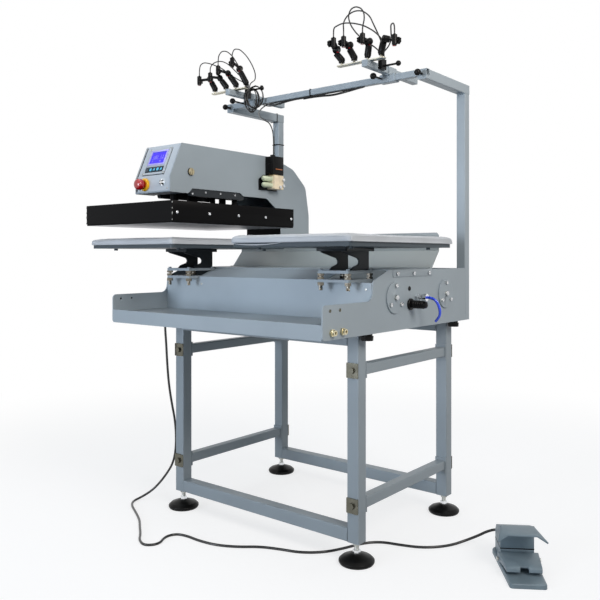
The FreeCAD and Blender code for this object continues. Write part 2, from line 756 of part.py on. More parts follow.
def mount_plate(side, bottom):
    x = side * STATION_X
    half = MOUNT_PLATE_HALF_W
    plate = slab_z([(x - half, MOUNT_PLATE_FRONT, 4), (x + half, MOUNT_PLATE_FRONT, 4),
                    (x + half, YOKE_REAR, 4), (x - half, YOKE_REAR, 4)], bottom, bottom + MOUNT_PLATE_T)
    for sx, sy in stud_places(side):
        plate = plate.cut(rod(STUD_R + FIT, V(sx, sy, bottom - 1), V(sx, sy, bottom + MOUNT_PLATE_T + 1)))
    return plate


def pedestals():
    """Both pedestals: a fixed plate, four levelling studs with nuts, and the yoke above."""
    solids = []
    gap_low = LOWER_PLATE_TOP
    gap_high = UPPER_PLATE_TOP - MOUNT_PLATE_T
    for side in (-1, 1):
        shelf_bottom = LOWER_PLATE_TOP - MOUNT_PLATE_T
        lower = mount_plate(side, shelf_bottom)
        solids.append(lower)
        solids.append(yoke(side))
        for sx, sy in stud_places(side):
            seat = shelf_bottom if sy < HOUSING_FRONT else shelf_bottom - SHELF_T
            stud = rod(STUD_R, V(sx, sy, seat - 22), V(sx, sy, UPPER_PLATE_TOP + 4))
            nuts = [slab_z(hexagon(STUD_NUT_AF, sx, sy), seat - 9, seat),
                    slab_z(hexagon(STUD_NUT_AF, sx, sy), gap_low, gap_low + 6.5),
                    slab_z(hexagon(STUD_NUT_AF, sx, sy), gap_high - 6.5, gap_high)]
            solids.append(fuse([stud] + nuts))
    return group(solids)


def lower_platens():
    """A steel plate under each pad, with two small bolts that hold the cover below it."""
    plates = []
    for side in (-1, 1):
        x = side * STATION_X
        half = PAD_W / 2 - PLATEN_INSET
        plate = slab_z([(x - half, PAD_FRONT + PLATEN_INSET, 8), (x + half, PAD_FRONT + PLATEN_INSET, 8),
                        (x + half, PAD_FRONT + PAD_D - PLATEN_INSET, 8),
                        (x - half, PAD_FRONT + PAD_D - PLATEN_INSET, 8)], PLATEN_BOTTOM, PLATEN_TOP)
        bolts = []
        for edge in (-1, 1):
            for y in (PAD_FRONT + 70, PAD_FRONT + PAD_D - 70):
                seat = V(x + edge * (half - 40), y, PLATEN_BOTTOM)
                bolts.append(rod(6.0, seat - V(0, 0, 6), seat))
        plates.append(fuse([plate] + bolts))
    return group(plates)


def platen_pad(side):
    """The silicone and cloth covered pad that lies on a lower platen, slightly crowned."""
    x = side * STATION_X
    half = PAD_W / 2
    levels = [(PAD_BOTTOM, 3.0), (PAD_BOTTOM + 4, 0.0), (PAD_TOP - 6, 0.0), (PAD_TOP - 2, 3.0),
              (PAD_TOP, 14.0)]
    wires = []
    for z, inset in levels:
        a = half - inset
        y0 = PAD_FRONT + inset
        y1 = PAD_FRONT + PAD_D - inset
        corner = 14.0 - inset / 2
        wires.append(outline([(x - a, y0, corner), (x + a, y0, corner), (x + a, y1, corner),
                              (x - a, y1, corner)], xy(z)))
    return Part.makeLoft(wires, True, True)


def head_profile():
    """The swan-neck outline of the head: slanted front, long underside notch, round back."""
    return [(HEAD_FRONT, HEAD_BOTTOM, 3), (NOTCH_FRONT - 16.7, HEAD_BOTTOM, 4), (NOTCH_FRONT, NOTCH_Z, 4),
            (NOTCH_REAR, NOTCH_Z, 4), (NOTCH_REAR + 14.6, HEAD_REAR_BOTTOM, 4), (28.2, HEAD_REAR_BOTTOM, 12),
            (COLUMN_FRONT, 981.0, 8), (COLUMN_FRONT, CARRIAGE_TOP), (COLUMN_REAR, CARRIAGE_TOP),
            (COLUMN_REAR, 980.0, 120),
            (247.0, 1084.0, 40), (175.0, 1144.0, 60), (58.0, HEAD_TOP, 60), (HEAD_TOP_FRONT, HEAD_TOP, 4),
            (HEAD_FRONT, HEAD_KNEE_Z, 4)]


def inset_profile(corners, inset):
    """The same outline moved inwards by a wall."""
    face = Part.Face(outline(corners, yz(0.0)))
    return face.makeOffset2D(-inset)


def head_shell():
    """The hollow head and column: two side plates, a wrapped cover and a bolted foot flange."""
    left = -STATION_X - HEAD_HALF_W
    right = -STATION_X + HEAD_HALF_W
    corners = head_profile()
    outer = slab_x(corners, left, right)
    cavity = inset_profile(corners, HEAD_SHEET)
    cavity.translate(V(left + HEAD_SHEET, 0, 0))
    cavity = cavity.extrude(V(2 * HEAD_HALF_W - 2 * HEAD_SHEET, 0, 0))
    shell = outer.cut(cavity)
    bay = box(left + HEAD_SHEET, right - HEAD_SHEET, GUIDE_FRONT - 2, COLUMN_FRONT - 10,
              HEAD_BOTTOM - 60, NOTCH_Z + 5.4)
    shell = shell.cut(bay)
    lean = (HEAD_TOP_FRONT - HEAD_FRONT) / (HEAD_TOP - HEAD_KNEE_Z)
    face = HEAD_FRONT + FRONT_RECESS
    slope = HEAD_TOP_FRONT + FRONT_RECESS
    recess = slab_x([(HEAD_FRONT - 5, HEAD_BOTTOM + 6), (face, HEAD_BOTTOM + 6), (face, HEAD_KNEE_Z),
                     (slope, HEAD_TOP), (slope, HEAD_TOP + 5), (HEAD_TOP_FRONT - 20, HEAD_TOP + 5),
                     (HEAD_FRONT - 5, HEAD_KNEE_Z)], left + HEAD_SHEET, right - HEAD_SHEET)
    front = slab_x([(face, HEAD_BOTTOM + 1), (face + 3, HEAD_BOTTOM + 1), (face + 3, HEAD_KNEE_Z - 1),
                    (slope + 3 - lean, HEAD_TOP - 1), (slope - lean, HEAD_TOP - 1), (face, HEAD_KNEE_Z)],
                   left + 1, right - 1)
    flange = box(left, right, COLUMN_FRONT, COLUMN_REAR, CARRIAGE_TOP, CARRIAGE_TOP + 8)
    return fuse([shell.cut(recess), front, flange])


def carriage():
    """The carriage plate, its four bearing blocks, their bushes and the drive yoke."""
    x = -STATION_X
    under = CARRIAGE_TOP - CARRIAGE_T
    plate = slab_z([(x - CARRIAGE_HALF_W, SHAFT_FRONT_Y - BLOCK_HALF, 6),
                    (x + CARRIAGE_HALF_W, SHAFT_FRONT_Y - BLOCK_HALF, 6),
                    (x + CARRIAGE_HALF_W, COLUMN_REAR, 6), (x - CARRIAGE_HALF_W, COLUMN_REAR, 6)],
                   under, CARRIAGE_TOP)
    pieces = [plate]
    bushes = []
    for y in (SHAFT_FRONT_Y, SHAFT_REAR_Y):
        for edge in (-1, 1):
            mid = x + edge * (CARRIAGE_HALF_W - BUSH_L / 2 - 4)
            block = box(mid - BUSH_L / 2, mid + BUSH_L / 2, y - BLOCK_HALF, y + BLOCK_HALF,
                        SHAFT_Z - BLOCK_HALF, under)
            bore = rod(BUSH_R, V(mid - BUSH_L, y, SHAFT_Z), V(mid + BUSH_L, y, SHAFT_Z))
            pieces.append(block.cut(bore))
            bushes.append(ring(BUSH_R, SHAFT_R + FIT, V(mid - BUSH_L / 2, y, SHAFT_Z),
                               V(mid + BUSH_L / 2, y, SHAFT_Z)))
    yoke_half = 30.0
    saddle = box(x - yoke_half, x + yoke_half, DRIVE_Y - yoke_half, DRIVE_Y + yoke_half,
                 DRIVE_Z - DRIVE_R / 2, under)
    saddle = saddle.cut(rod(DRIVE_R + 0.1, V(x - 100, DRIVE_Y, DRIVE_Z), V(x + 100, DRIVE_Y, DRIVE_Z)))
    saddle = saddle.cut(box(x - 100, x + 100, DRIVE_Y - DRIVE_R - 0.1, DRIVE_Y + DRIVE_R + 0.1,
                            DRIVE_Z - 2 * DRIVE_R, DRIVE_Z))
    pieces.append(saddle)
    return group([fuse(pieces)] + bushes)


def slant(s, out):
    """A (y, z) point on the slanted front: s up from the knee, out in front of the panel."""
    run = HEAD_TOP_FRONT - HEAD_FRONT
    rise = HEAD_TOP - HEAD_KNEE_Z
    length = math.hypot(run, rise)
    base_y = HEAD_FRONT + FRONT_RECESS
    return (base_y + (run * s - rise * out) / length, HEAD_KNEE_Z + (rise * s + run * out) / length)


def slanted_block(x0, x1, s0, s1, out0, out1):
    """A block that lies on the slanted front panel."""
    return slab_x([slant(s0, out0), slant(s1, out0), slant(s1, out1), slant(s0, out1)], x0, x1)


def display_unit():
    """The controller: a bezel with a raised screen frame, the screen and five flat keys."""
    x = -314.6
    bezel = slanted_block(x - 51, x + 51, 10, 104, 0.0, 3.0)
    window = slanted_block(x - 34.5, x + 34.5, 48, 90, 1.0, 10)
    frame = slanted_block(x - 40, x + 40, 43, 95, 2.0, 5.0)
    strip_well = slanted_block(x - 42.5, x + 42.5, 17, 37, 2.0, 10)
    body = fuse([bezel, frame]).cut(window).cut(strip_well)
    screen = slanted_block(x - 34.4, x + 34.4, 48.1, 89.9, 1.0, 3.2)
    keys = []
    pitch = 16.4
    for index in range(5):
        mid = x - 2 * pitch + index * pitch
        keys.append(slanted_block(mid - 6.6, mid + 6.6, 20.5, 33.5, 2.0, 3.4))
    return group([body, screen] + keys)


def head_fittings():
    """The stop button's yellow ring, the start button's plated ring and the slotted plug of the side."""
    stop = ring(20.0, 9.0 + 0.1, V(ESTOP_X, PANEL_Y - 9, ESTOP_Z), V(ESTOP_X, PANEL_Y, ESTOP_Z))
    start = ring(10.5, 7.6, V(START_X, PANEL_Y - 3, START_Z), V(START_X, PANEL_Y, START_Z))
    face = -STATION_X + HEAD_HALF_W
    plug = fuse([rod(12.0, V(face, -328, 1091.5), V(face + 5, -328, 1091.5)),
                 rod(9.5, V(face + 5, -328, 1091.5), V(face + 8, -328, 1091.5))])
    plug = plug.cut(box(face + 6, face + 9, -329.2, -326.8, 1080, 1103))
    return group([stop, start, plug])


def estop_button():
    """The red mushroom on its stem."""
    profile = [(0, 6.0), (9.0, 6.0), (9.0, 16, 1), (16.5, 18, 2), (17.5, 28, 4), (13.0, 36, 6), (0, 37)]
    face = Part.Face(outline(profile, lambda a, b: V(ESTOP_X + a, PANEL_Y - 0.3 - b, ESTOP_Z)))
    return face.revolve(V(ESTOP_X, 0, ESTOP_Z), V(0, 1, 0), 360)


def start_button():
    """The plated start button."""
    return rod(7.5, V(START_X, PANEL_Y - 6.5, START_Z), V(START_X, PANEL_Y - 2.3, START_Z))


def press_cylinder():
    """The air cylinder inside the head, on a thick guide plate with a beam under each side."""
    x = -STATION_X
    half = HEAD_HALF_W - HEAD_SHEET
    plate = box(x - half, x + half, GUIDE_FRONT, GUIDE_REAR, GUIDE_PLATE_BOTTOM, GUIDE_PLATE_TOP)
    beams = []
    for side in (-1, 1):
        low, high = sorted((x + side * half, x + side * (half - GUIDE_BEAM_W)))
        joint_z = GUIDE_PLATE_BOTTOM + 1
        beams.append(slab_x([(GUIDE_BEAM_FRONT, GUIDE_BEAM_BOTTOM, 3), (GUIDE_REAR, GUIDE_BEAM_BOTTOM, 3),
                             (GUIDE_REAR, joint_z), (GUIDE_BEAM_FRONT - 8, joint_z)], low, high))
    block = fuse([plate] + beams)
    below = GUIDE_BEAM_BOTTOM - 1
    above = GUIDE_PLATE_TOP + 1
    for dx, y, radius in GUIDE_RODS:
        block = block.cut(rod(radius + FIT, V(x + dx, y, below), V(x + dx, y, above)))
    block = block.cut(rod(PRESS_ROD_R + FIT, V(x, PRESS_ROD_Y, below), V(x, PRESS_ROD_Y, above)))
    lid_z = CYLINDER_TOP - 8
    barrel = ring(CYLINDER_R, CYLINDER_BORE_R, V(x, PRESS_ROD_Y, GUIDE_PLATE_TOP), V(x, PRESS_ROD_Y, lid_z))
    lid = rod(CYLINDER_R, V(x, PRESS_ROD_Y, lid_z), V(x, PRESS_ROD_Y, CYLINDER_TOP))
    return group([block, fuse([barrel, lid])])


def press_rods():
    """Piston, rod, guide rods with their collars, and the bridge that carries the upper platen."""
    x = -STATION_X
    bridge_t = 7.0
    half = HEAD_HALF_W - HEAD_SHEET - GUIDE_BEAM_W - 2
    bridge = box(x - half, x + half, GUIDE_FRONT + 5, GUIDE_REAR, UPPER_TOP, UPPER_TOP + bridge_t)
    piston_top = V(x, PRESS_ROD_Y, CYLINDER_TOP - 12)
    piston = rod(CYLINDER_BORE_R - FIT, piston_top - V(0, 0, 22), piston_top)
    ram = rod(PRESS_ROD_R, V(x, PRESS_ROD_Y, UPPER_TOP), piston_top - V(0, 0, 18))
    pieces = [bridge, piston, ram]
    collar_z = UPPER_TOP + bridge_t
    for dx, y, radius in GUIDE_RODS:
        pieces.append(rod(radius, V(x + dx, y, UPPER_TOP), V(x + dx, y, GUIDE_PLATE_TOP + PRESS_STROKE + 4)))
        pieces.append(rod(radius + 5, V(x + dx, y, collar_z - 1), V(x + dx, y, collar_z + 9)))
    return fuse(pieces)


def upper_platen_cover():
    """The black heat cover: an open-bottomed sheet box over the heater plate."""
    x = -STATION_X
    half = UPPER_W / 2
    rear = UPPER_FRONT + UPPER_D
    outer = slab_z([(x - half, UPPER_FRONT, 3), (x + half, UPPER_FRONT, 3), (x + half, rear, 3),
                    (x - half, rear, 3)], UPPER_BOTTOM, UPPER_TOP)
    inner = box(x - half + SHEET, x + half - SHEET, UPPER_FRONT + SHEET, rear - SHEET,
                UPPER_BOTTOM - 1, UPPER_TOP - SHEET)
    cover = outer.cut(inner)
    screws = []
    screw_z = 953.8
    for side in (-1, 1):
        face = x + side * half
        for y in (-490.5, -363.8, -239.4, -113.7, 15.9):
            screws.append(rod(4.5, V(face, y, screw_z), V(face + side * 2.5, y, screw_z)))
    return fuse([cover] + screws)


def heater_plate():
    """The cast aluminium heater plate that fills the cover, with a chamfered lower edge."""
    x = -STATION_X
    gap = SHEET + FIT
    half = UPPER_W / 2 - gap
    front = UPPER_FRONT + gap
    rear = UPPER_FRONT + UPPER_D - gap
    top = HEATER_BOTTOM + HEATER_T
    plate = box(x - half, x + half, front, rear, HEATER_BOTTOM, top)
    hangers = [box(x + edge * 120 - 15, x + edge * 120 + 15, y - 15, y + 15, top, UPPER_TOP - SHEET)
               for edge in (-1, 1) for y in (-400.0, -80.0)]
    return fuse([plate] + hangers)


def valve_unit():
    """Air preparation on the column: a bracket, a two-bowl regulator block and its solenoid."""
    face = -STATION_X + HEAD_HALF_W
    bracket = slab_x([(-14.0, 1058.0, 3), (80.0, 1058.0, 3), (80.0, 1112.0, 3), (10.0, 1112.0, 3),
                      (-14.0, 1096.0, 3)], face, face + 4)
    block = box(face + 4, face + 38, 28.0, 76.0, 1062.0, 1110.0)
    block = block.makeFillet(2.0, [e for e in block.Edges if abs(e.Length - 34) < 0.1])
    bowls = [rod(9.5, V(face + 21, -8.0, z), V(face + 21, 28.0, z)) for z in (1075.0, 1097.0)]
    tips = [Part.makeSphere(9.5, V(face + 21, -8.0, z)) for z in (1075.0, 1097.0)]
    regulator = fuse([block] + bowls + tips)
    coil = box(face, face + 36, 22.0, 78.0, 1112.0, 1176.0)
    coil = coil.makeFillet(3.0, [e for e in coil.Edges if abs(e.Length - 36) < 0.1])
    return group([bracket, regulator, coil])


def gantry_tubes():
    """Two posts behind the cabinet, two arms that come forward and the crossbar between them."""
    half = GANTRY_TUBE / 2
    post_y = BASE_REAR + half
    arm_z = GANTRY_TOP - half
    bar_z = GANTRY_TOP - CROSSBAR / 2
    bar_y = GANTRY_FRONT + CROSSBAR / 2
    tubes = [tube_x(bar_y, bar_z, CROSSBAR, 1.5, 2.0, -BASE_HALF_W, BASE_HALF_W)]
    for side in (-1, 1):
        x = side * (BASE_HALF_W - half)
        tubes.append(tube_z(x, post_y, GANTRY_TUBE, TUBE_WALL, 3.0, BASE_BOTTOM, GANTRY_TOP - GANTRY_TUBE))
        arm = tube_y(x, arm_z, GANTRY_TUBE, TUBE_WALL, 3.0, GANTRY_FRONT + CROSSBAR, BASE_REAR + GANTRY_TUBE)
        cap = slab_y(square(half - 0.5, 2.5, x, arm_z), BASE_REAR + GANTRY_TUBE - 3, BASE_REAR + GANTRY_TUBE)
        left, right = x - half + 0.5, x + half - 0.5
        low, high = GANTRY_TOP - GANTRY_TUBE, bar_z - CROSSBAR / 2
        nose = slab_y([(left, low, 2), (right, low, 2), (right, high, 0.5), (left, high, 0.5)],
                      GANTRY_FRONT, GANTRY_FRONT + CROSSBAR + 3)
        tubes.append(fuse([arm, cap, nose]))
    return group(tubes)


def gantry_knob(side):
    """The ball knob that clamps the crossbar at one end."""
    x = side * (BASE_HALF_W - GANTRY_TUBE / 2)
    return ball_knob(x, GANTRY_FRONT, GANTRY_TOP - GANTRY_TUBE / 2, 3.5, 25.0)


def laser_x(side):
    """The middle of one laser arm."""
    return LASER_RIGHT_X if side > 0 else LASER_LEFT_X


def laser_front(side):
    """The front end of one laser arm."""
    return LASER_RIGHT_FRONT if side > 0 else LASER_LEFT_FRONT


def saddle(side):
    """A cross sleeve: its lower half slides along the crossbar, its upper holds the laser arm."""
    x = laser_x(side)
    bar_y = GANTRY_FRONT + CROSSBAR / 2
    bar_z = GANTRY_TOP - CROSSBAR / 2
    outer = CROSSBAR / 2 + SADDLE_WALL + FIT
    lower = slab_x(square(outer, 3, bar_y, bar_z), x - SADDLE_HALF_L, x + SADDLE_HALF_L)
    arm_z = ARM_TOP - CROSSBAR / 2
    upper = slab_y(square(outer, 3, x, arm_z), bar_y - SADDLE_HALF_D, bar_y + SADDLE_HALF_D)
    body = fuse([lower, upper])
    hole = CROSSBAR / 2 + FIT
    body = body.cut(slab_x(square(hole, 1.9, bar_y, bar_z), x - 50, x + 50))
    return body.cut(slab_y(square(hole, 1.9, x, arm_z), bar_y - 50, bar_y + 50))


def saddle_knob(side):
    """The ball knob that clamps one saddle to the crossbar."""
    shift, reach = SADDLE_KNOB[side]
    face = GANTRY_FRONT - SADDLE_WALL - FIT
    return ball_knob(laser_x(side) + shift, face, GANTRY_TOP - CROSSBAR / 2, 3.0, reach)


def arm_point(side, step):
    """A point given as steps from the front top edge of a laser arm."""
    return V(laser_x(side) + step[0], laser_front(side) + step[1], ARM_TOP + step[2])


def laser_frame(side, index):
    """The post top, knuckle, barrel and knuckle axis of one laser."""
    post_step, knuckle_step, barrel_step, _ = LASERS[side][index]
    post = arm_point(side, (post_step, STRIP_MIDDLE[side][1], POST_TOP))
    knuckle = arm_point(side, knuckle_step)
    barrel = arm_point(side, barrel_step)
    flat = V(barrel.x - knuckle.x, barrel.y - knuckle.y, 0).normalize()
    return post, knuckle, barrel, V(-flat.y, flat.x, 0)


def laser_elbow(side, index):
    """The black lower arm of one laser, from its post up to the knuckle eye."""
    post, knuckle, _, across = laser_frame(side, index)
    start = post + V(0, 0, 9)
    middle = knuckle - across * (EYE_T / 2 + 0.1)
    rise = middle - start
    rise = (rise - across * rise.dot(across)).normalize()
    stop = middle - rise * (EYE_R + 3.0)
    line = (stop - start).normalize()
    socket = rod(7.5, post, start)
    joint = Part.makeSphere(8.5, start)
    joint = joint.common(rod(20, post, start + V(0, 0, 20)))
    limb = rod(8.5, start, stop)
    neck = rod(3.9, stop - rise * 4, middle)
    eye = rod(EYE_R, knuckle - across * (EYE_T + 0.1), knuckle - across * 0.1)
    body = fuse([socket, joint, limb, neck, eye])
    body = body.cut(rod(EYE_R + 0.6, knuckle - across * 0.1, knuckle + across * 20))
    return body.cut(rod(2.5 + FIT, knuckle - across * 20, knuckle + across * 20))


def star(radius, start, end):
    """A six-lobed grip from one point to another."""
    line = end - start
    reach = V(0, 0, 1)
    pieces = [rod(radius * 0.72, start, end)]
    for step in range(6):
        offset = FreeCAD.Rotation(line, 60.0 * step).multVec(reach) * (radius * 0.74)
        pieces.append(rod(radius * 0.26, start + offset, end + offset))
    return fuse(pieces)


def laser_head(side, index):
    """One line laser: the knuckle's second eye and pin, a link, the barrel and a star knob."""
    _, knuckle, barrel, across = laser_frame(side, index)
    hand = LASERS[side][index][3]
    eye = rod(EYE_R, knuckle, knuckle + across * EYE_T)
    pin = rod(2.5, knuckle - across * (EYE_T + 0.2), knuckle)
    head = rod(4.5, knuckle - across * (EYE_T + 2.7), knuckle - across * (EYE_T + 0.2))
    middle = across * (EYE_T / 2)
    link = rod(3.8, knuckle + middle, barrel + middle)
    tube = rod(BARREL_R, barrel - V(0, 0, BARREL_DOWN - 4), barrel + V(0, 0, BARREL_UP))
    nose = rod(BARREL_R - 1.8, barrel - V(0, 0, BARREL_DOWN), barrel - V(0, 0, BARREL_DOWN - 4))
    tail = rod(LEAD_R + 1.2, barrel + V(0, 0, BARREL_UP), barrel + V(0, 0, BARREL_UP + 3))
    out = across if across.x * hand > 0 else across * -1
    boss = rod(4.0, barrel, barrel + out * (BARREL_R + 3))
    grip = star(9.5, barrel + out * (BARREL_R + 2), barrel + out * (BARREL_R + 9))
    return fuse([eye, pin, head, link, tube, nose, tail, boss, grip])


def lead_clamp(side):
    """The black clamp on the side of a laser arm that gathers the leads, with its T-knob."""
    x = laser_x(side) + CROSSBAR / 2
    y = laser_front(side) + CLAMP_STEP[side]
    width = CLAMP_W[side]
    block = box(x, x + width, y, y + CLAMP_D, ARM_TOP - 18, ARM_TOP + CLAMP_UP)
    edges = [e for e in block.Edges if abs(e.Length - 18 - CLAMP_UP) < 0.1 and e.CenterOfMass.x > x + 1]
    block = block.makeFillet(2.0, edges)
    middle = y + CLAMP_D / 2
    stud_z = clamp_stud_z(side)
    reach = laser_x(side) + CLAMP_STUD_L[side]
    stem = rod(CLAMP_STUD_R, V(x + width - 2, middle, stud_z), V(reach, middle, stud_z))
    ball = Part.makeSphere(8.0, V(reach, middle, stud_z))
    return fuse([block, stem, ball])


def clamp_stud_z(side):
    """The right stud is low on the clamp, the left one high so that the coil hangs from it."""
    return ARM_TOP - 8.0 if side > 0 else ARM_TOP + CLAMP_UP - 5.0


def laser_arm(side):
    """The arm tube with its end cap, the slotted strip with its posts, the elbows and the clamp."""
    x = laser_x(side)
    front = laser_front(side)
    arm_z = ARM_TOP - CROSSBAR / 2
    arm = tube_y(x, arm_z, CROSSBAR, 1.5, 2.0, front, front + LASER_ARM_L)
    cap = slab_y(square(CROSSBAR / 2, 2, x, arm_z), front - 3, front)
    middle = x + STRIP_MIDDLE[side][0]
    y = front + STRIP_MIDDLE[side][1]
    half_l = STRIP_L / 2
    half_w = STRIP_W / 2
    strip = slab_z([(middle - half_l, y - half_w, 6), (middle + half_l, y - half_w, 6),
                    (middle + half_l, y + half_w, 6), (middle - half_l, y + half_w, 6)],
                   ARM_TOP, ARM_TOP + STRIP_T)
    pitch = STRIP_L / 10
    posts = [LASERS[side][index][0] for index in range(4)]
    for index in range(9):
        hole = middle - 4 * pitch + pitch * index
        if min(abs(hole - x - post) for post in posts) < 11.0:
            continue
        strip = strip.cut(slab_z([(hole - 5, y - 3, 2.9), (hole + 5, y - 3, 2.9), (hole + 5, y + 3, 2.9),
                                  (hole - 5, y + 3, 2.9)], ARM_TOP - 1, ARM_TOP + STRIP_T + 1))
    pieces = [strip]
    for post in posts:
        pieces.append(rod(3.0, V(x + post, y, ARM_TOP), V(x + post, y, ARM_TOP + POST_TOP)))
        pieces.append(rod(5.0, V(x + post, y, ARM_TOP + STRIP_T), V(x + post, y, ARM_TOP + STRIP_T + 3)))
    solids = [fuse([arm, cap]), fuse(pieces), lead_clamp(side)]
    return group(solids + [laser_elbow(side, index) for index in range(4)])


def clamp_places(side):
    """The four points in a row on top of a clamp where the leads go in."""
    x = laser_x(side) + CROSSBAR / 2 + CLAMP_W[side] / 2
    y = laser_front(side) + CLAMP_STEP[side] + CLAMP_D / 2
    return [V(x, y + step, ARM_TOP + CLAMP_UP + SOFT_GAP) for step in (-9.0, -3.0, 3.0, 9.0)]


def laser_leads(side):
    """The looped leads of one laser group, from the barrels to the clamp."""
    solids = []
    ends = clamp_places(side)
    for index in range(4):
        place, rise_first, rise_last, steps = LEAD_PATHS[side][index]
        _, _, barrel, _ = laser_frame(side, index)
        tail = barrel + V(0, 0, BARREL_UP + 3 + SOFT_GAP)
        end = ends[place]
        route = [tail, tail + V(0, 0, rise_first)] + [arm_point(side, step) for step in steps]
        route += [end + V(0, 0, rise_last), end]
        solids.append(cable("lead_%d_%d" % (side, index), route, LEAD_R))
    return solids


def coil_point(turns):
    """A point of the hanging coil after so many turns from its top."""
    angle = 2 * math.pi * turns
    along = V(math.cos(math.radians(COIL_TURN)), math.sin(math.radians(COIL_TURN)), 0)
    through = V(-along.y, along.x, 0)
    stud = V(laser_x(-1) + COIL_SIDE, laser_front(-1) + CLAMP_STEP[-1] + CLAMP_D / 2, clamp_stud_z(-1))
    top = stud + V(0, 0, CLAMP_STUD_R + LEAD_R + COIL_LIFT)
    centre = top - V(0, 0, COIL_HALF_H)
    spread = (turns - COIL_TURNS / 2) * COIL_PITCH
    return (centre + along * (COIL_HALF_W * math.sin(angle)) + V(0, 0, COIL_HALF_H * math.cos(angle))
            + through * spread)


def hanging_coil():
    """The spare lead, wound and hung over the left clamp's stud: one unbroken tube."""
    steps = 12
    route = [coil_point(k / steps) for k in range(COIL_TURNS * steps + 1)]
    fine = [coil_point(k / 60) for k in range(COIL_TURNS * 60 + 1)]
    gaps = [(fine[i] - fine[j]).Length for i in range(len(fine)) for j in range(i + 30, len(fine))]
    print("hanging coil, least gap to itself", round(min(gaps) - 2 * LEAD_R, 2))
    return cable("hanging_coil", route, LEAD_R)


def laser_leads_right():
    return group(laser_leads(1))


def laser_leads_left():
    return group(laser_leads(-1) + [hanging_coil()])


def lead_run():
    """The bundled leads: under the crossbar, over to the left arm and down its post into the base."""
    bar_z = GANTRY_TOP - CROSSBAR - RUN_R - SOFT_GAP
    arm_z = GANTRY_TOP - GANTRY_TUBE - RUN_R - SOFT_GAP
    bar_y = GANTRY_FRONT + 5.0
    post_x = -BASE_HALF_W + GANTRY_TUBE / 4
    post_y = BASE_REAR - SHEET - RUN_R - SOFT_GAP
    route = [V(188 - 47.0 * k, bar_y + 0.8 * (k % 2), bar_z) for k in range(9)]
    route += [V(-226, bar_y + 2, bar_z - 2), V(-258, bar_y + 14, bar_z - 8), V(-290, 60, arm_z - 1),
              V(-328, 100, arm_z - 0.4), V(-362, 146, arm_z), V(-388, 200, arm_z - 0.3),
              V(-398, 240, arm_z - 4), V(post_x, post_y - 4, arm_z - 30)]
    down = 13
    drop = (arm_z - 70.0 - BASE_BOTTOM - SHEET - SOFT_GAP) / down
    route += [V(post_x, post_y - 0.8 * (k % 2), arm_z - 70.0 - drop * k) for k in range(down + 1)]
    return cable("lead_run", route, RUN_R)


def turned(shape):
    """Place a shape that is drawn about the pedal's own middle."""
    shape.rotate(V(0, 0, 0), V(0, 0, 1), PEDAL_TURN)
    shape.translate(V(PEDAL_X, PEDAL_Y, 0))
    return shape


def pedal_point(x, y, z):
    """A point of the pedal in the machine's frame."""
    turn = math.radians(PEDAL_TURN)
    return V(PEDAL_X + x * math.cos(turn) - y * math.sin(turn),
             PEDAL_Y + x * math.sin(turn) + y * math.cos(turn), z)


def treadle_half(y):
    """Half the treadle's width, which grows towards its hinge."""
    return 44.0 + 7.5 * (y + 71.0) / 71.0


def pedal_base():
    """The cast base plate with a chamfered rim and two lugs for the treadle pin."""
    half = PEDAL_HALF_W
    rear = PEDAL_REAR_HALF_W
    end = PEDAL_L / 2
    plate = slab_z([(-half, -end, 9), (half, -end, 9), (rear, end, 22), (-rear, end, 22)], 0, PEDAL_BASE_T)
    rim = [e for e in plate.Edges if abs(e.CenterOfMass.z - PEDAL_BASE_T) < 0.01]
    pieces = [plate.makeChamfer(2.5, rim)]
    outer = treadle_half(TREADLE_PIVOT_Y) - TREADLE_WALL - 1.5
    for side in (-1, 1):
        low, high = sorted((side * (outer - 6.0), side * outer))
        y, z = TREADLE_PIVOT_Y, TREADLE_PIVOT_Z
        pieces.append(slab_x([(y - 9, PEDAL_BASE_T - 3), (y + 9, PEDAL_BASE_T - 3), (y + 6, z + 6, 5),
                              (y - 6, z + 6, 5)], low, high))
    body = fuse(pieces).cut(rod(TREADLE_PIN_R, V(-rear, TREADLE_PIVOT_Y, TREADLE_PIVOT_Z),
                                V(rear, TREADLE_PIVOT_Y, TREADLE_PIVOT_Z)))
    return turned(body)


def pedal_hinge():
    """The treadle pin and its two screw heads outside the treadle's cheeks."""
    reach = treadle_half(TREADLE_PIVOT_Y + 12) + 0.3
    y, z = TREADLE_PIVOT_Y, TREADLE_PIVOT_Z
    pin = rod(TREADLE_PIN_R, V(-reach, y, z), V(reach, y, z))
    heads = [rod(5.5, V(side * reach, y, z), V(side * (reach + 3.5), y, z)) for side in (-1, 1)]
    return turned(fuse([pin] + heads))


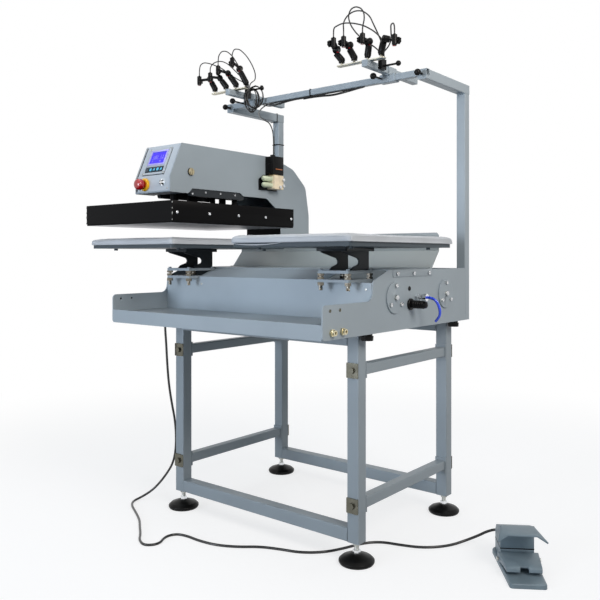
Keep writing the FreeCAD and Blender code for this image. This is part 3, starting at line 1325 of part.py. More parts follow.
def pedal_treadle():
    """The foot plate: a hollow wedge with a lip, a notch in its front and cheeks at its hinge."""
    front = -71.0
    back = TREADLE_PIVOT_Y + 12.0
    low = 20.0
    rise_front = 32.0
    rise_back = 38.0
    cheek_z = TREADLE_PIVOT_Z - 6
    profile = [(front, low, 1.5), (front + 1, rise_front - 3), (front + 8, rise_front + 1),
               (back - 3, rise_back, 2), (back, rise_back - 5, 2), (back, cheek_z, 4),
               (TREADLE_PIVOT_Y - 10, cheek_z, 4), (TREADLE_PIVOT_Y - 22, low)]
    solid = slab_x(profile, -60, 60)
    plan = slab_z([(-treadle_half(front), front - 2), (treadle_half(front), front - 2),
                   (treadle_half(back), back + 2), (-treadle_half(back), back + 2)], 0, 60)
    body = solid.common(plan)
    roof = [(front + 4, 0), (front + 4, rise_front - 4), (back - 8, rise_back - 5),
            (back + 5, rise_back - 9), (back + 5, 0)]
    wall = TREADLE_WALL
    hollow = slab_x(roof, -60, 60).common(
        slab_z([(wall - treadle_half(front), front - 2), (treadle_half(front) - wall, front - 2),
                (treadle_half(back) - wall, back + 6), (wall - treadle_half(back), back + 6)], 0, 60))
    body = body.cut(hollow)
    notch = [(-13, front - 5), (13, front - 5), (9, front + 9, 2), (-9, front + 9, 2)]
    body = body.cut(slab_z(notch, 0, 60))
    body = body.cut(rod(TREADLE_PIN_R + FIT, V(-70, TREADLE_PIVOT_Y, TREADLE_PIVOT_Z),
                        V(70, TREADLE_PIVOT_Y, TREADLE_PIVOT_Z)))
    return turned(body)


def hood_wing(side):
    """One flared corner of the hood."""
    fold_rear = V(side * 43.4, 16, PEDAL_HOOD_Z)
    fold_front = V(side * 37.6, -44, PEDAL_HOOD_Z)
    tip = V(side * 64.0, -50, PEDAL_HOOD_Z - 15)
    face = Part.Face(Part.makePolygon([fold_rear, fold_front, tip, fold_rear]))
    down = (fold_front - fold_rear).cross(tip - fold_rear).normalize()
    if down.z > 0:
        down = down * -1
    return face.extrude(down * 4.0)


def pedal_housing():
    """The two-part switch housing behind the treadle, the hood over it and the cord's gland."""
    half = PEDAL_BODY_HALF_W
    front = PEDAL_BODY_FRONT
    rear = PEDAL_BODY_REAR
    seam = 43.0
    lower = box(-half, half, front, rear, PEDAL_BASE_T, seam - 1.2)
    middle = box(-half + 1.8, half - 1.8, front + 1.8, rear - 1.8, seam - 1.2, seam + 1.2)
    upper = slab_x([(front, seam + 1.2), (rear, seam + 1.2), (rear, 66, 10), (rear - 16, 85, 8),
                    (20, PEDAL_HOOD_Z), (20, PEDAL_HOOD_Z - 4), (front, PEDAL_HOOD_Z - 4)], -half, half)
    roof = slab_z([(-37.6, -44), (37.6, -44), (43.4, 16), (43.4, 24), (-43.4, 24), (-43.4, 16)],
                  PEDAL_HOOD_Z - 4, PEDAL_HOOD_Z)
    brace = slab_x([(front + 1, 78), (front + 1, PEDAL_HOOD_Z - 2), (front - 12, PEDAL_HOOD_Z - 2)], -34, 34)
    gland = rod(CORD_R + 3.5, V(CORD_IN_X, rear, CORD_IN_Z), V(CORD_IN_X, rear + CORD_GLAND_L, CORD_IN_Z))
    pieces = [lower, middle, upper, roof, brace, hood_wing(-1), hood_wing(1), gland]
    return turned(fuse(pieces))


def pedal_cord_route():
    """The pedal cord: out of its gland, down past the front left leg, then along the floor."""
    x = CORD_EXIT_X
    low = CORD_R
    gland = PEDAL_BODY_REAR + CORD_GLAND_L
    route = [V(x, CORD_START_Y, CORD_EXIT_Z), V(x, -296, CORD_EXIT_Z), V(x, -296, 592), V(x, -291, 540),
             V(x, -288, 490), V(x, -281, 412), V(x, -268, 343), V(x - 2, -252, 285), V(x - 7, -242, 226),
             V(x - 15, -238, 168), V(x - 30, -238, 126), V(x - 54, -241, 92), V(x - 80, -249, 58),
             V(x - 106, -262, 28), V(x - 128, -290, low + 4), V(x - 128, -326, low),
             V(x - 98, -356, low), V(-415, -390, low), V(-354, -424, low), V(-308, -460, low),
             V(-262, -494, low), V(-228, -526, low), V(-186, -542, low), V(-160, -508, low),
             V(-190, -462, low), V(-180, -426, low), V(-140, -417, low),
             V(-96, -420, low), V(-31, -412, low), V(28, -382, low), V(75, -341, low), V(131, -318, low),
             V(192, -300, low), V(242, -256, low), V(270, -196, low), V(290, -134, low),
             V(326, -94, low), V(378, -80, low), V(432, -60, low), V(470, -26, low), V(496, 16, low),
             V(522, 52, low + 9), V(550, 74, 27)]
    return route + [pedal_point(-60, 154, 38), pedal_point(-37, 154, CORD_IN_Z - 3),
                    pedal_point(CORD_IN_X, 139, CORD_IN_Z), pedal_point(CORD_IN_X, gland, CORD_IN_Z)]


def pedal_cord():
    return cable("pedal_cord", pedal_cord_route(), CORD_R)


def nodes():
    """Every node of the machine by name."""
    made = {
        "stand_legs": stand_legs(), "stand_rails": stand_rails(),
        "stand_joint_plates": stand_joint_plates(),
        "base_pan": base_pan(), "side_panel_left": side_panel(-1), "side_panel_right": side_panel(1),
        "front_housing": front_housing(), "tray_shelf": tray_shelf(),
        "base_top_cover": base_top_cover(), "rail_guard": rail_guard(),
        "guide_shafts": guide_shafts(), "shaft_end_covers": shaft_end_covers(),
        "drive_cylinder": drive_cylinder(), "base_rubber_feet": base_rubber_feet(),
        "air_fittings": air_fittings(), "supply_hose": supply_hose(),
        "pedestals": pedestals(), "lower_platens": lower_platens(),
        "platen_pad_left": platen_pad(-1), "platen_pad_right": platen_pad(1),
        "gantry_tubes": gantry_tubes(), "lead_run": lead_run(),
        "pedal_base": pedal_base(), "pedal_housing": pedal_housing(), "pedal_hinge": pedal_hinge(),
        "pedal_treadle": pedal_treadle(), "pedal_cord": pedal_cord(),
        "carriage": carriage(), "head_shell": head_shell(), "display_unit": display_unit(),
        "head_fittings": head_fittings(), "press_cylinder": press_cylinder(), "valve_unit": valve_unit(),
        "estop_button": estop_button(), "start_button": start_button(),
        "upper_platen_cover": upper_platen_cover(), "heater_plate": heater_plate(),
        "press_rods": press_rods(),
        "laser_leads_left": laser_leads_left(), "laser_leads_right": laser_leads_right(),
    }
    for name, side, end in LEGS:
        made["foot_" + name] = foot(side, end)
    for name, side in (("left", -1), ("right", 1)):
        made["gantry_knob_" + name] = gantry_knob(side)
        made["saddle_" + name] = saddle(side)
        made["saddle_knob_" + name] = saddle_knob(side)
        made["laser_arm_" + name] = laser_arm(side)
        for index in range(4):
            made["laser_%s_%d" % (name, index + 1)] = laser_head(side, index)
    return made


def main():
    os.makedirs("parts", exist_ok=True)
    for name, shape in nodes().items():
        shape.exportStep("parts/%s.step" % name)


if __name__ == "__main__":
    main()
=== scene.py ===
"""Looks of a twin-station pneumatic heat press with a shuttling head, laser guides and a foot pedal."""
import json
import math

import bmesh
import bpy
from bpy.props import FloatProperty, FloatVectorProperty, IntProperty
from mathutils import Matrix, Vector, noise

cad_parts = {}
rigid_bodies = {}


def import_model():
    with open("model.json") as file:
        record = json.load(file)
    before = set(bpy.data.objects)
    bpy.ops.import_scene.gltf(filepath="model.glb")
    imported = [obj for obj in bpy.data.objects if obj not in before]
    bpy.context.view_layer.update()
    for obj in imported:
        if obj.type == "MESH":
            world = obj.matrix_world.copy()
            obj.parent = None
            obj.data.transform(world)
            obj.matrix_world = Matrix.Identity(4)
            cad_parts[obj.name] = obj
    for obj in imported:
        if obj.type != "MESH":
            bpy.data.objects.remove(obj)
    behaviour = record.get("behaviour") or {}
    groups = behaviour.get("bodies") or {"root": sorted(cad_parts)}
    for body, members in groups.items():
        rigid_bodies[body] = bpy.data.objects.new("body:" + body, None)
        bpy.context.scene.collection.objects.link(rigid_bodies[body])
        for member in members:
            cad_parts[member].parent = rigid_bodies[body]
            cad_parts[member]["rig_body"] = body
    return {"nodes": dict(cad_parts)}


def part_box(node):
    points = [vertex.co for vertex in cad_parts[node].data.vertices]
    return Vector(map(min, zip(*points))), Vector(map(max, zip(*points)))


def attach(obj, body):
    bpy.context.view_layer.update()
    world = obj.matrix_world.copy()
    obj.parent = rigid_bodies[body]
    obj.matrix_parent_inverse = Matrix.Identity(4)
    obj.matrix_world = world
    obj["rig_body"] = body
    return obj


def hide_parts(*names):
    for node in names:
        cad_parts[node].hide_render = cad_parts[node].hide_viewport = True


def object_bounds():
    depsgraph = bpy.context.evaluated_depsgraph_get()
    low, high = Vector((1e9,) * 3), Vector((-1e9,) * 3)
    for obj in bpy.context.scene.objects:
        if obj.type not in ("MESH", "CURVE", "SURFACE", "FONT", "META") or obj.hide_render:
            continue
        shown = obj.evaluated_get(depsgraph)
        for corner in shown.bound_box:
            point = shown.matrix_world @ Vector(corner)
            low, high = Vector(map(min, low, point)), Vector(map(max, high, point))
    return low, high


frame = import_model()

bl_info = {
    "name": "Heat Press Dressing",
    "version": (1, 0, 0),
    "blender": (4, 5, 0),
    "location": "3D View > Sidebar > Heat Press",
    "description": "Dresses the packed heat press: finishes, cords, cloth covers and small hardware",
    "category": "Object",
}

MM = 0.001
FINISHES = {}
CAD_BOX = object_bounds()


def linear(code):
    """The linear values of an sRGB hex colour, with full alpha."""
    channels = [int(code[k:k + 2], 16) / 255 for k in (1, 3, 5)]
    return [c / 12.92 if c <= 0.04045 else ((c + 0.055) / 1.055) ** 2.4 for c in channels] + [1.0]


def tint(label, code, what):
    """A colour that a user may change."""
    return FloatVectorProperty(name=label, description=what, subtype="COLOR", size=4, min=0.0, max=1.0,
                               default=linear(code))


def length(label, value, what):
    """A length in metres that a user may change, given in millimetres."""
    return FloatProperty(name=label, description=what, default=value * MM, subtype="DISTANCE", unit="LENGTH")


class PressColours(bpy.types.PropertyGroup):
    """Colours of the press."""
    paint: tint("Machine paint", "#96a2aa", "Powder coat of the stand, cabinet and head")
    gantry: tint("Gantry paint", "#98a4ac", "Powder coat of the gantry tubes")
    # Painted light: the front panel has the machine paint; this lighter tone paints the light that falls on its face.
    panel: tint("Front panel", "#b3bcc3", "Lighter coat of the head's front panel")
    pedal: tint("Pedal paint", "#74858f", "Hammer paint of the cast foot pedal")
    cover: tint("Heat cover", "#0c0c0d", "Satin black enamel of the heat cover")
    cloth: tint("Platen cloth", "#adb3b9", "Coated cloth of the platen covers")
    rubber: tint("Rubber", "#0b0b0b", "Feet, grommets and cords")
    plastic: tint("Black plastic", "#0b0b0c", "Knobs, laser bodies and clamps")
    red: tint("Stop red", "#a20a15", "Mushroom of the stop button")
    yellow: tint("Stop ring", "#edb515", "Ring behind the stop button")
    screen: tint("Screen", "#2f14dc", "Lit liquid crystal screen")
    rim: tint("Screen rim", "#b4aef2", "Lit edge of the screen frame")
    keys: tint("Keys", "#4fc0e4", "Marks on the flat keys")
    hose: tint("Hose", "#1a49ea", "Polyurethane supply hose")
    ivory: tint("Ivory", "#efdfc2", "Moulded regulator body")
    yoke: tint("Pedestals", "#2c3135", "Dark coat of the platen pedestals")


class PressSizes(bpy.types.PropertyGroup):
    """Sizes of the pieces that this file adds."""
    cord: length("Pedal cord", 7.5, "Diameter of the pedal cord")
    hose: length("Supply hose", 8.0, "Diameter of the supply hose")
    tie: length("Cable tie", 3.6, "Width of a cable tie")
    corner: length("Cover corner", 13.0, "Corner radius of a platen cover")
    swell: length("Cover swell", 3.2, "Most that a cover swells out of its starting shape")
    voxel: length("Cover voxel", 6.0, "Remesh size of the covers before the cloth simulation")
    frames: IntProperty(name="Cloth frames", description="Frames of the cover simulation", default=20, min=2)


def colours():
    return bpy.context.scene.press_colours


def sizes():
    return bpy.context.scene.press_sizes


def add(tree, kind, settings=None, links=None):
    """Adds a node with its settings and the sockets that feed it."""
    node = tree.nodes.new(kind)
    for key, value in (settings or {}).items():
        if isinstance(key, int) or key in node.inputs:
            node.inputs[key].default_value = value
        else:
            setattr(node, key, value)
    for key, source in (links or {}).items():
        tree.links.new(source, node.inputs[key])
    return node


def new_finish(name, colour, roughness, metallic=0.0, **extra):
    """A material with one shader, and the object coordinates that its patterns read."""
    material = bpy.data.materials.new(name)
    material.use_nodes = True
    tree = material.node_tree
    tree.nodes.clear()
    shader = add(tree, "ShaderNodeBsdfPrincipled", {"Base Color": colour, "Roughness": roughness,
                                                    "Metallic": metallic})
    for socket, value in extra.items():
        shader.inputs[socket.replace("_", " ")].default_value = value
    add(tree, "ShaderNodeOutputMaterial", links={"Surface": shader.outputs["BSDF"]})
    place = add(tree, "ShaderNodeTexCoord").outputs["Object"]
    FINISHES[name] = material
    return material, tree, shader, place


def shade(colour, factor):
    """A colour made lighter or darker."""
    return [min(1.0, channel * factor) for channel in colour[:3]] + [1.0]


def mottle(tree, shader, place, colour, size_mm, low, high, detail=3.0):
    """Colour that drifts between a darker and a lighter shade over a real size."""
    clouds = add(tree, "ShaderNodeTexNoise", {"Scale": 1 / (size_mm * MM), "Detail": detail}, {"Vector": place})
    ramp = add(tree, "ShaderNodeValToRGB", links={"Fac": clouds.outputs["Fac"]})
    ramp.color_ramp.elements[0].position = 0.3
    ramp.color_ramp.elements[0].color = shade(colour, low)
    ramp.color_ramp.elements[1].position = 0.7
    ramp.color_ramp.elements[1].color = shade(colour, high)
    tree.links.new(ramp.outputs["Color"], shader.inputs["Base Color"])
    return clouds, ramp


def relief(tree, shader, height, depth_mm, strength=1.0, under=None):
    """Bump of a real depth, on top of another normal where one is given."""
    bump = add(tree, "ShaderNodeBump", {"Distance": depth_mm * MM, "Strength": strength}, {"Height": height})
    if under is not None:
        tree.links.new(under, bump.inputs["Normal"])
    tree.links.new(bump.outputs["Normal"], shader.inputs["Normal"])
    return bump


def soft_edges(tree, radius_mm):
    """The rounded edges that a thick coat or a tumbled part has, seen in the shading alone."""
    return add(tree, "ShaderNodeBevel", {"samples": 4, "Radius": radius_mm * MM})


def coated(name, colour, roughness, edge_mm, peel_mm, wear_and_highlight, gloss_level=0.4):
    """Powder coat: baked polymer over steel, with orange peel and soft edges, whose edges are painted lighter, partly
    as rubbed paint and partly as a painted highlight.
    """
    material, tree, shader, place = new_finish(name, colour, roughness, Specular_IOR_Level=gloss_level)
    clouds, ramp = mottle(tree, shader, place, colour, 170.0, 0.95, 1.05)
    edges = soft_edges(tree, edge_mm)
    flat = add(tree, "ShaderNodeNewGeometry")
    turned = add(tree, "ShaderNodeVectorMath", {"operation": "DOT_PRODUCT"},
                 {0: edges.outputs["Normal"], 1: flat.outputs["Normal"]})
    # Painted highlight: where the bevelled normal turns away from the flat one, the coat is mixed towards a tone 1.6
    # times lighter. This stands partly for rubbed paint and partly for the light caught along each edge.
    rim = add(tree, "ShaderNodeMapRange", {"From Min": 0.995, "From Max": 0.80, "To Min": 0.0, "To Max": wear_and_highlight},
              {"Value": turned.outputs["Value"]})
    rubbed_and_highlit = add(tree, "ShaderNodeMix", {"data_type": "RGBA", 7: shade(colour, 1.6)},
               {0: rim.outputs["Result"], 6: ramp.outputs["Color"]})
    tree.links.new(rubbed_and_highlit.outputs[2], shader.inputs["Base Color"])
    peel = add(tree, "ShaderNodeTexNoise", {"Scale": 1 / (peel_mm * MM), "Detail": 1.0}, {"Vector": place})
    relief(tree, shader, peel.outputs["Fac"], 0.035, 0.5, edges.outputs["Normal"])
    gloss = add(tree, "ShaderNodeMapRange", {"To Min": roughness - 0.05, "To Max": roughness + 0.07},
                {"Value": clouds.outputs["Fac"]})
    tree.links.new(gloss.outputs["Result"], shader.inputs["Roughness"])
    return material


def plated(name, code, roughness, size_mm=14.0):
    """Zinc or nickel plate: bright metal with faint clouds from the bath."""
    colour = linear(code)
    material, tree, shader, place = new_finish(name, colour, roughness, 1.0)
    clouds, _ = mottle(tree, shader, place, colour, size_mm, 0.80, 1.1)
    gloss = add(tree, "ShaderNodeMapRange", {"To Min": roughness - 0.07, "To Max": roughness + 0.1},
                {"Value": clouds.outputs["Fac"]})
    tree.links.new(gloss.outputs["Result"], shader.inputs["Roughness"])
    tree.links.new(soft_edges(tree, 0.4).outputs["Normal"], shader.inputs["Normal"])
    return material


def moulded(name, colour, roughness, grain_mm, depth_mm=0.03, gloss_level=0.5):
    """Moulded plastic or rubber with the fine spark-eroded grain of its tool."""
    material, tree, shader, place = new_finish(name, colour, roughness, Specular_IOR_Level=gloss_level)
    mottle(tree, shader, place, colour, 30.0, 0.85, 1.18)
    grain = add(tree, "ShaderNodeTexNoise", {"Scale": 1 / (grain_mm * MM), "Detail": 2.0}, {"Vector": place})
    relief(tree, shader, grain.outputs["Fac"], depth_mm, 0.6, soft_edges(tree, 0.5).outputs["Normal"])
    return material


def ground(name, code, roughness, stretch, lines_mm):
    """Ground or brushed metal: fine lines along one axis, drawn coarser than real so that they show."""
    colour = linear(code)
    material, tree, shader, place = new_finish(name, colour, roughness, 1.0)
    drawn = add(tree, "ShaderNodeMapping", {"Scale": stretch}, {"Vector": place})
    lines = add(tree, "ShaderNodeTexNoise", {"Scale": 1 / (lines_mm * MM), "Detail": 2.0},
                {"Vector": drawn.outputs["Vector"]})
    ramp = add(tree, "ShaderNodeValToRGB", links={"Fac": lines.outputs["Fac"]})
    ramp.color_ramp.elements[0].color = shade(colour, 0.82)
    ramp.color_ramp.elements[1].color = shade(colour, 1.1)
    tree.links.new(ramp.outputs["Color"], shader.inputs["Base Color"])
    relief(tree, shader, lines.outputs["Fac"], 0.02, 0.35)
    return material


def hammered(name, colour):
    """Hammer paint on a casting: a pebbled, half-gloss coat."""
    material, tree, shader, place = new_finish(name, colour, 0.42)
    mottle(tree, shader, place, colour, 40.0, 0.9, 1.1)
    pebbles = add(tree, "ShaderNodeTexVoronoi", {"Scale": 1 / (4.5 * MM), "feature": "SMOOTH_F1"},
                  {"Vector": place})
    relief(tree, shader, pebbles.outputs["Distance"], 0.22, 0.45, soft_edges(tree, 1.6).outputs["Normal"])
    return material


def coated_cloth(name, colour):
    """Silicone-coated glass cloth: a plain weave of 1.4 mm threads under a thin satin film."""
    material, tree, shader, place = new_finish(name, colour, 0.5)
    shader.inputs["Sheen Weight"].default_value = 0.25
    shader.inputs["Sheen Roughness"].default_value = 0.4
    thread = 1.4 * MM
    heights = []
    for turn in ((0.0, 0.0, 0.0), (0.0, 0.0, math.pi / 2)):
        laid = add(tree, "ShaderNodeMapping", {"Rotation": turn}, {"Vector": place})
        wave = add(tree, "ShaderNodeTexWave", {"Scale": 0.314 / thread, "Distortion": 0.6, "Detail": 1.0},
                   {"Vector": laid.outputs["Vector"]})
        heights.append(wave.outputs["Fac"])
    weave = add(tree, "ShaderNodeMath", {"operation": "MULTIPLY"}, {0: heights[0], 1: heights[1]})
    clouds, ramp = mottle(tree, shader, place, colour, 90.0, 0.93, 1.06)
    dark = add(tree, "ShaderNodeMapRange", {"To Min": 0.93, "To Max": 1.0}, {"Value": weave.outputs["Value"]})
    threads = add(tree, "ShaderNodeMix", {"data_type": "RGBA", "blend_type": "MULTIPLY", 0: 1.0},
                  {6: ramp.outputs["Color"], 7: dark.outputs["Result"]})
    tree.links.new(threads.outputs[2], shader.inputs["Base Color"])
    wrinkles = add(tree, "ShaderNodeTexNoise", {"Scale": 1 / (45 * MM), "Detail": 4.0, "Distortion": 0.6},
                   {"Vector": place})
    creased = add(tree, "ShaderNodeBump", {"Distance": 1.2 * MM, "Strength": 0.35},
                  {"Height": wrinkles.outputs["Fac"]})
    relief(tree, shader, weave.outputs["Value"], 0.12, 0.5, creased.outputs["Normal"])
    return material


def heater_casting():
    """Cast aluminium, machined on its working face: dull silver with faint swirls and heat stains."""
    colour = linear("#a3a2a8")
    material, tree, shader, place = new_finish("cast_aluminium", colour, 0.36, 0.85)
    mottle(tree, shader, place, colour, 60.0, 0.82, 1.08, 5.0)
    swirl = add(tree, "ShaderNodeTexWave", {"wave_type": "RINGS", "Scale": 0.314 / (2.2 * MM), "Distortion": 3.0},
                {"Vector": place})
    relief(tree, shader, swirl.outputs["Fac"], 0.03, 0.3)
    return material


def screen_finish():
    """A backlit display behind a clear window: even blue light with a fine mottle."""
    colour = colours().screen
    material, tree, shader, place = new_finish("lit_screen", colour, 0.12)
    cells = add(tree, "ShaderNodeTexNoise", {"Scale": 1 / (5.0 * MM), "Detail": 3.0}, {"Vector": place})
    ramp = add(tree, "ShaderNodeValToRGB", links={"Fac": cells.outputs["Fac"]})
    ramp.color_ramp.elements[0].color = shade(colour, 0.85)
    ramp.color_ramp.elements[1].color = shade(colour, 1.3)
    tree.links.new(ramp.outputs["Color"], shader.inputs["Base Color"])
    tree.links.new(ramp.outputs["Color"], shader.inputs["Emission Color"])
    shader.inputs["Emission Strength"].default_value = 0.3
    return material


def drawn_hose(name, colour, roughness, gloss_coat):
    """Extruded plastic sheath: smooth along its run with a slight mottling."""
    material, tree, shader, place = new_finish(name, colour, roughness)
    shader.inputs["Coat Weight"].default_value = gloss_coat
    mottle(tree, shader, place, colour, 22.0, 0.82, 1.15)
    grain = add(tree, "ShaderNodeTexNoise", {"Scale": 1 / (1.2 * MM), "Detail": 1.0}, {"Vector": place})
    relief(tree, shader, grain.outputs["Fac"], 0.02, 0.4)
    return material


class HEATPRESS_OT_finishes(bpy.types.Operator):
    """Makes every finish and gives each CAD node listed in NODE_FINISHES its own"""
    bl_idname = "heatpress.finishes"
    bl_label = "Finishes"

    def execute(self, context):
        colour = colours()
        coated("powder_coat", colour.paint, 0.40, 1.2, 2.2, 0.5)
        # Painted light and shade: the stand and the front housing have the same machine paint; these two copies of it
        # are made darker and lighter only to paint the light that reaches them.
        coated("stand_coat_painted_shade", shade(colour.paint, 0.88), 0.40, 1.2, 2.2, 0.5)
        coated("housing_coat_painted_light", shade(colour.paint, 1.2), 0.40, 1.2, 2.2, 0.5)
        coated("gantry_coat", colour.gantry, 0.38, 1.2, 2.2, 0.5)
        # Painted light: the panel coat, and the bezel coat made a little darker from it, are lighter than the machine
        # paint to paint the light on the head's front.
        coated("panel_coat_painted_light", colour.panel, 0.34, 0.8, 2.0, 0.3)
        coated("bezel_coat_painted_light", shade(colour.panel, 0.92), 0.36, 0.6, 2.0, 0.6)
        coated("satin_enamel", colour.cover, 0.42, 1.0, 1.6, 0.35, 0.05)
        coated("guard_coat", linear("#929b9d"), 0.22, 1.0, 2.2, 0.5)
        coated("dark_enamel", colour.yoke, 0.38, 1.2, 1.8, 0.5, 0.18)
        coated("plate_coat", linear("#3d474e"), 0.4, 1.2, 1.8, 0.4, 0.25)
        hammered("hammer_paint", colour.pedal)
        plated("zinc_plate", "#b4b6b2", 0.30)
        plated("joint_zinc", "#6a695f", 0.24, 22.0)
        plated("strip_zinc", "#b9b5a4", 0.42)
        plated("brass_plate", "#d3c9a8", 0.22)
        plated("stud_brass", "#77736a", 0.2, 6.0)
        plated("satin_nickel", "#eef2f5", 0.45)
        plated("bright_nickel", "#cfd1d3", 0.16)
        plated("chrome_plate", "#e2e4e6", 0.08)
        ground("ground_steel", "#a9adb0", 0.28, (0.04, 1.0, 1.0), 0.8)
        ground("anodised_alloy", "#9fa5a9", 0.36, (0.05, 1.0, 1.0), 1.0)
        ground("milled_steel", "#7d8286", 0.42, (1.0, 0.06, 1.0), 1.0)
        heater_casting()
        coated_cloth("coated_cloth", colour.cloth)
        moulded("moulded_rubber", colour.rubber, 0.34, 1.4, 0.02, 0.14)
        moulded("black_plastic", colour.plastic, 0.32, 0.9, 0.02, 0.14)
        moulded("ivory_plastic", colour.ivory, 0.35, 0.9)
        moulded("bowl_plastic", linear("#c3cdb2"), 0.16, 1.0)
        moulded("olive_plastic", linear("#b3aa8c"), 0.42, 0.9)
        moulded("stop_red", colour.red, 0.06, 4.0, 0.001, 1.0)
        moulded("stop_yellow", colour.yellow, 0.32, 1.0)
        moulded("rim_plastic", colour.rim, 0.3, 0.8)
        moulded("key_strip", linear("#0d2c3a"), 0.25, 0.8)
        moulded("key_marks", colour.keys, 0.3, 0.8)
        moulded("digit_white", linear("#8f86ff"), 0.3, 0.8)
        moulded("red_lens", linear("#c4202c"), 0.12, 1.0, 0.01)
        moulded("brown_band", linear("#b8672c"), 0.35, 1.0)
        # Painted shade: a near-black for the shade in narrow joints and inside open ends.
        moulded("painted_shade_black", linear("#050505"), 0.7, 1.0, 0.02, 0.1)
        drawn_hose("cord_sheath", linear("#111214"), 0.30, 0.1)
        drawn_hose("lead_sheath", linear("#0a0b0c"), 0.34, 0.0)
        drawn_hose("hose_blue", colour.hose, 0.2, 0.5)
        screen_finish()
        for node, finish in NODE_FINISHES.items():
            slots = frame["nodes"][node].material_slots
            for index in range(len(slots)):
                slots[index].material = FINISHES[finish]
        return {"FINISHED"}


# The stand's coat is a darker copy of the machine paint as painted shade, and the housing's coat is a lighter copy as
# painted light.
NODE_FINISHES = {
    "stand_legs": "stand_coat_painted_shade", "stand_rails": "stand_coat_painted_shade", "stand_joint_plates": "joint_zinc",
    "base_pan": "powder_coat", "side_panel_left": "powder_coat", "side_panel_right": "powder_coat",
    "front_housing": "housing_coat_painted_light", "tray_shelf": "powder_coat", "rail_guard": "guard_coat",
    "guide_shafts": "ground_steel", "drive_cylinder": "anodised_alloy", "base_rubber_feet": "moulded_rubber",
    "lower_platens": "plate_coat", "gantry_tubes": "gantry_coat", "lead_run": "lead_sheath",
    "pedal_base": "hammer_paint", "pedal_hinge": "zinc_plate", "carriage": "milled_steel",
    "head_shell": "powder_coat", "press_cylinder": "dark_enamel", 
    "press_rods": "satin_enamel", "start_button": "chrome_plate",
    "gantry_knob_left": "black_plastic", "gantry_knob_right": "black_plastic",
    "saddle_left": "gantry_coat", "saddle_right": "gantry_coat",
    "saddle_knob_left": "black_plastic", "saddle_knob_right": "black_plastic",
}


def alone(piece):
    """Selects one object and nothing else."""
    if bpy.context.object and bpy.context.object.mode != "OBJECT":
        bpy.ops.object.mode_set(mode="OBJECT")
    bpy.ops.object.select_all(action="DESELECT")
    piece.select_set(True)
    bpy.context.view_layer.objects.active = piece


def settle(piece):
    """Puts an object's place, turn and size into its mesh."""
    alone(piece)
    bpy.ops.object.transform_apply(location=True, rotation=True, scale=True)


def give(piece, name, body, finish=None):
    """Names a finished piece, puts it on its body and gives it a slot and a finish."""
    piece.name = name
    piece.data.name = name
    settle(piece)
    if finish:
        piece.data.materials.clear()
        piece.data.materials.append(FINISHES[finish])
    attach(piece, body)
    return piece


def pick(piece, test, kind="FACE"):
    """In edit mode, selects the faces or edges whose middle and normal pass a test."""
    mesh = bmesh.from_edit_mesh(piece.data)
    for group in (mesh.verts, mesh.edges, mesh.faces):
        for item in group:
            item.select_set(False)
    mesh.select_mode = {kind}
    if kind == "FACE":
        for face in mesh.faces:
            if test(face.calc_center_median(), face.normal):
                face.select_set(True)
    else:
        for edge in mesh.edges:
            a, b = edge.verts
            if test((a.co + b.co) / 2, (b.co - a.co).normalized()):
                edge.select_set(True)
    mesh.select_flush_mode()
    bmesh.update_edit_mesh(piece.data)


def open_up(piece, kind="FACE"):
    alone(piece)
    bpy.ops.object.mode_set(mode="EDIT")
    bpy.ops.mesh.select_mode(type=kind)


def close_up():
    bpy.ops.object.mode_set(mode="OBJECT")


def block(low, high, round_mm=0.0, segments=2):
    """A box between two corners in metres, with rounded edges."""
    low, high = Vector(low), Vector(high)
    bpy.ops.object.select_all(action="DESELECT")
    bpy.ops.mesh.primitive_cube_add(size=1.0, location=(low + high) / 2)
    piece = bpy.context.object
    piece.scale = high - low
    settle(piece)
    if round_mm:
        open_up(piece)
        bpy.ops.mesh.select_all(action="SELECT")
        bpy.ops.mesh.bevel(offset=round_mm * MM, segments=segments, affect="EDGES")
        close_up()
    return piece


def disc(radius_mm, height_mm, sides=24):
    """A short upright drum that stands on the origin."""
    bpy.ops.object.select_all(action="DESELECT")
    bpy.ops.mesh.primitive_cylinder_add(vertices=sides, radius=radius_mm * MM, depth=height_mm * MM,
                                        location=(0, 0, height_mm * MM / 2))
    piece = bpy.context.object
    settle(piece)
    return piece


def pan_screw(radius_mm, height_mm):
    """A domed screw head with a cross recess."""
    piece = disc(radius_mm, height_mm)
    open_up(piece)
    pick(piece, lambda middle, normal: normal.z > 0.9)
    bpy.ops.mesh.bevel(offset=height_mm * 0.55 * MM, segments=3, affect="EDGES")
    close_up()
    for turn in (0.0, math.pi / 2):
        arm = radius_mm * 0.55 * MM
        cutter = block((-arm, -0.16 * radius_mm * MM, height_mm * 0.55 * MM),
                       (arm, 0.16 * radius_mm * MM, (height_mm + 1) * MM))
        cutter.rotation_euler = (0, 0, turn)
        settle(cutter)
        cut(piece, cutter)
    return piece


def hex_screw(flats_mm, height_mm):
    """A hexagon head with a chamfered top."""
    piece = disc(flats_mm / math.sqrt(3), height_mm, 6)
    open_up(piece)
    pick(piece, lambda middle, normal: normal.z > 0.9)
    bpy.ops.mesh.bevel(offset=0.9 * MM, segments=2, affect="EDGES")
    close_up()
    return piece


def socket_screw(radius_mm, height_mm):
    """A cap screw head with a hexagon socket."""
    piece = disc(radius_mm, height_mm)
    open_up(piece)
    pick(piece, lambda middle, normal: normal.z > 0.9)
    bpy.ops.mesh.bevel(offset=0.6 * MM, segments=2, affect="EDGES")
    close_up()
    cutter = disc(radius_mm * 0.55, height_mm, 6)
    cutter.location.z = height_mm * 0.45 * MM
    settle(cutter)
    cut(piece, cutter)
    return piece


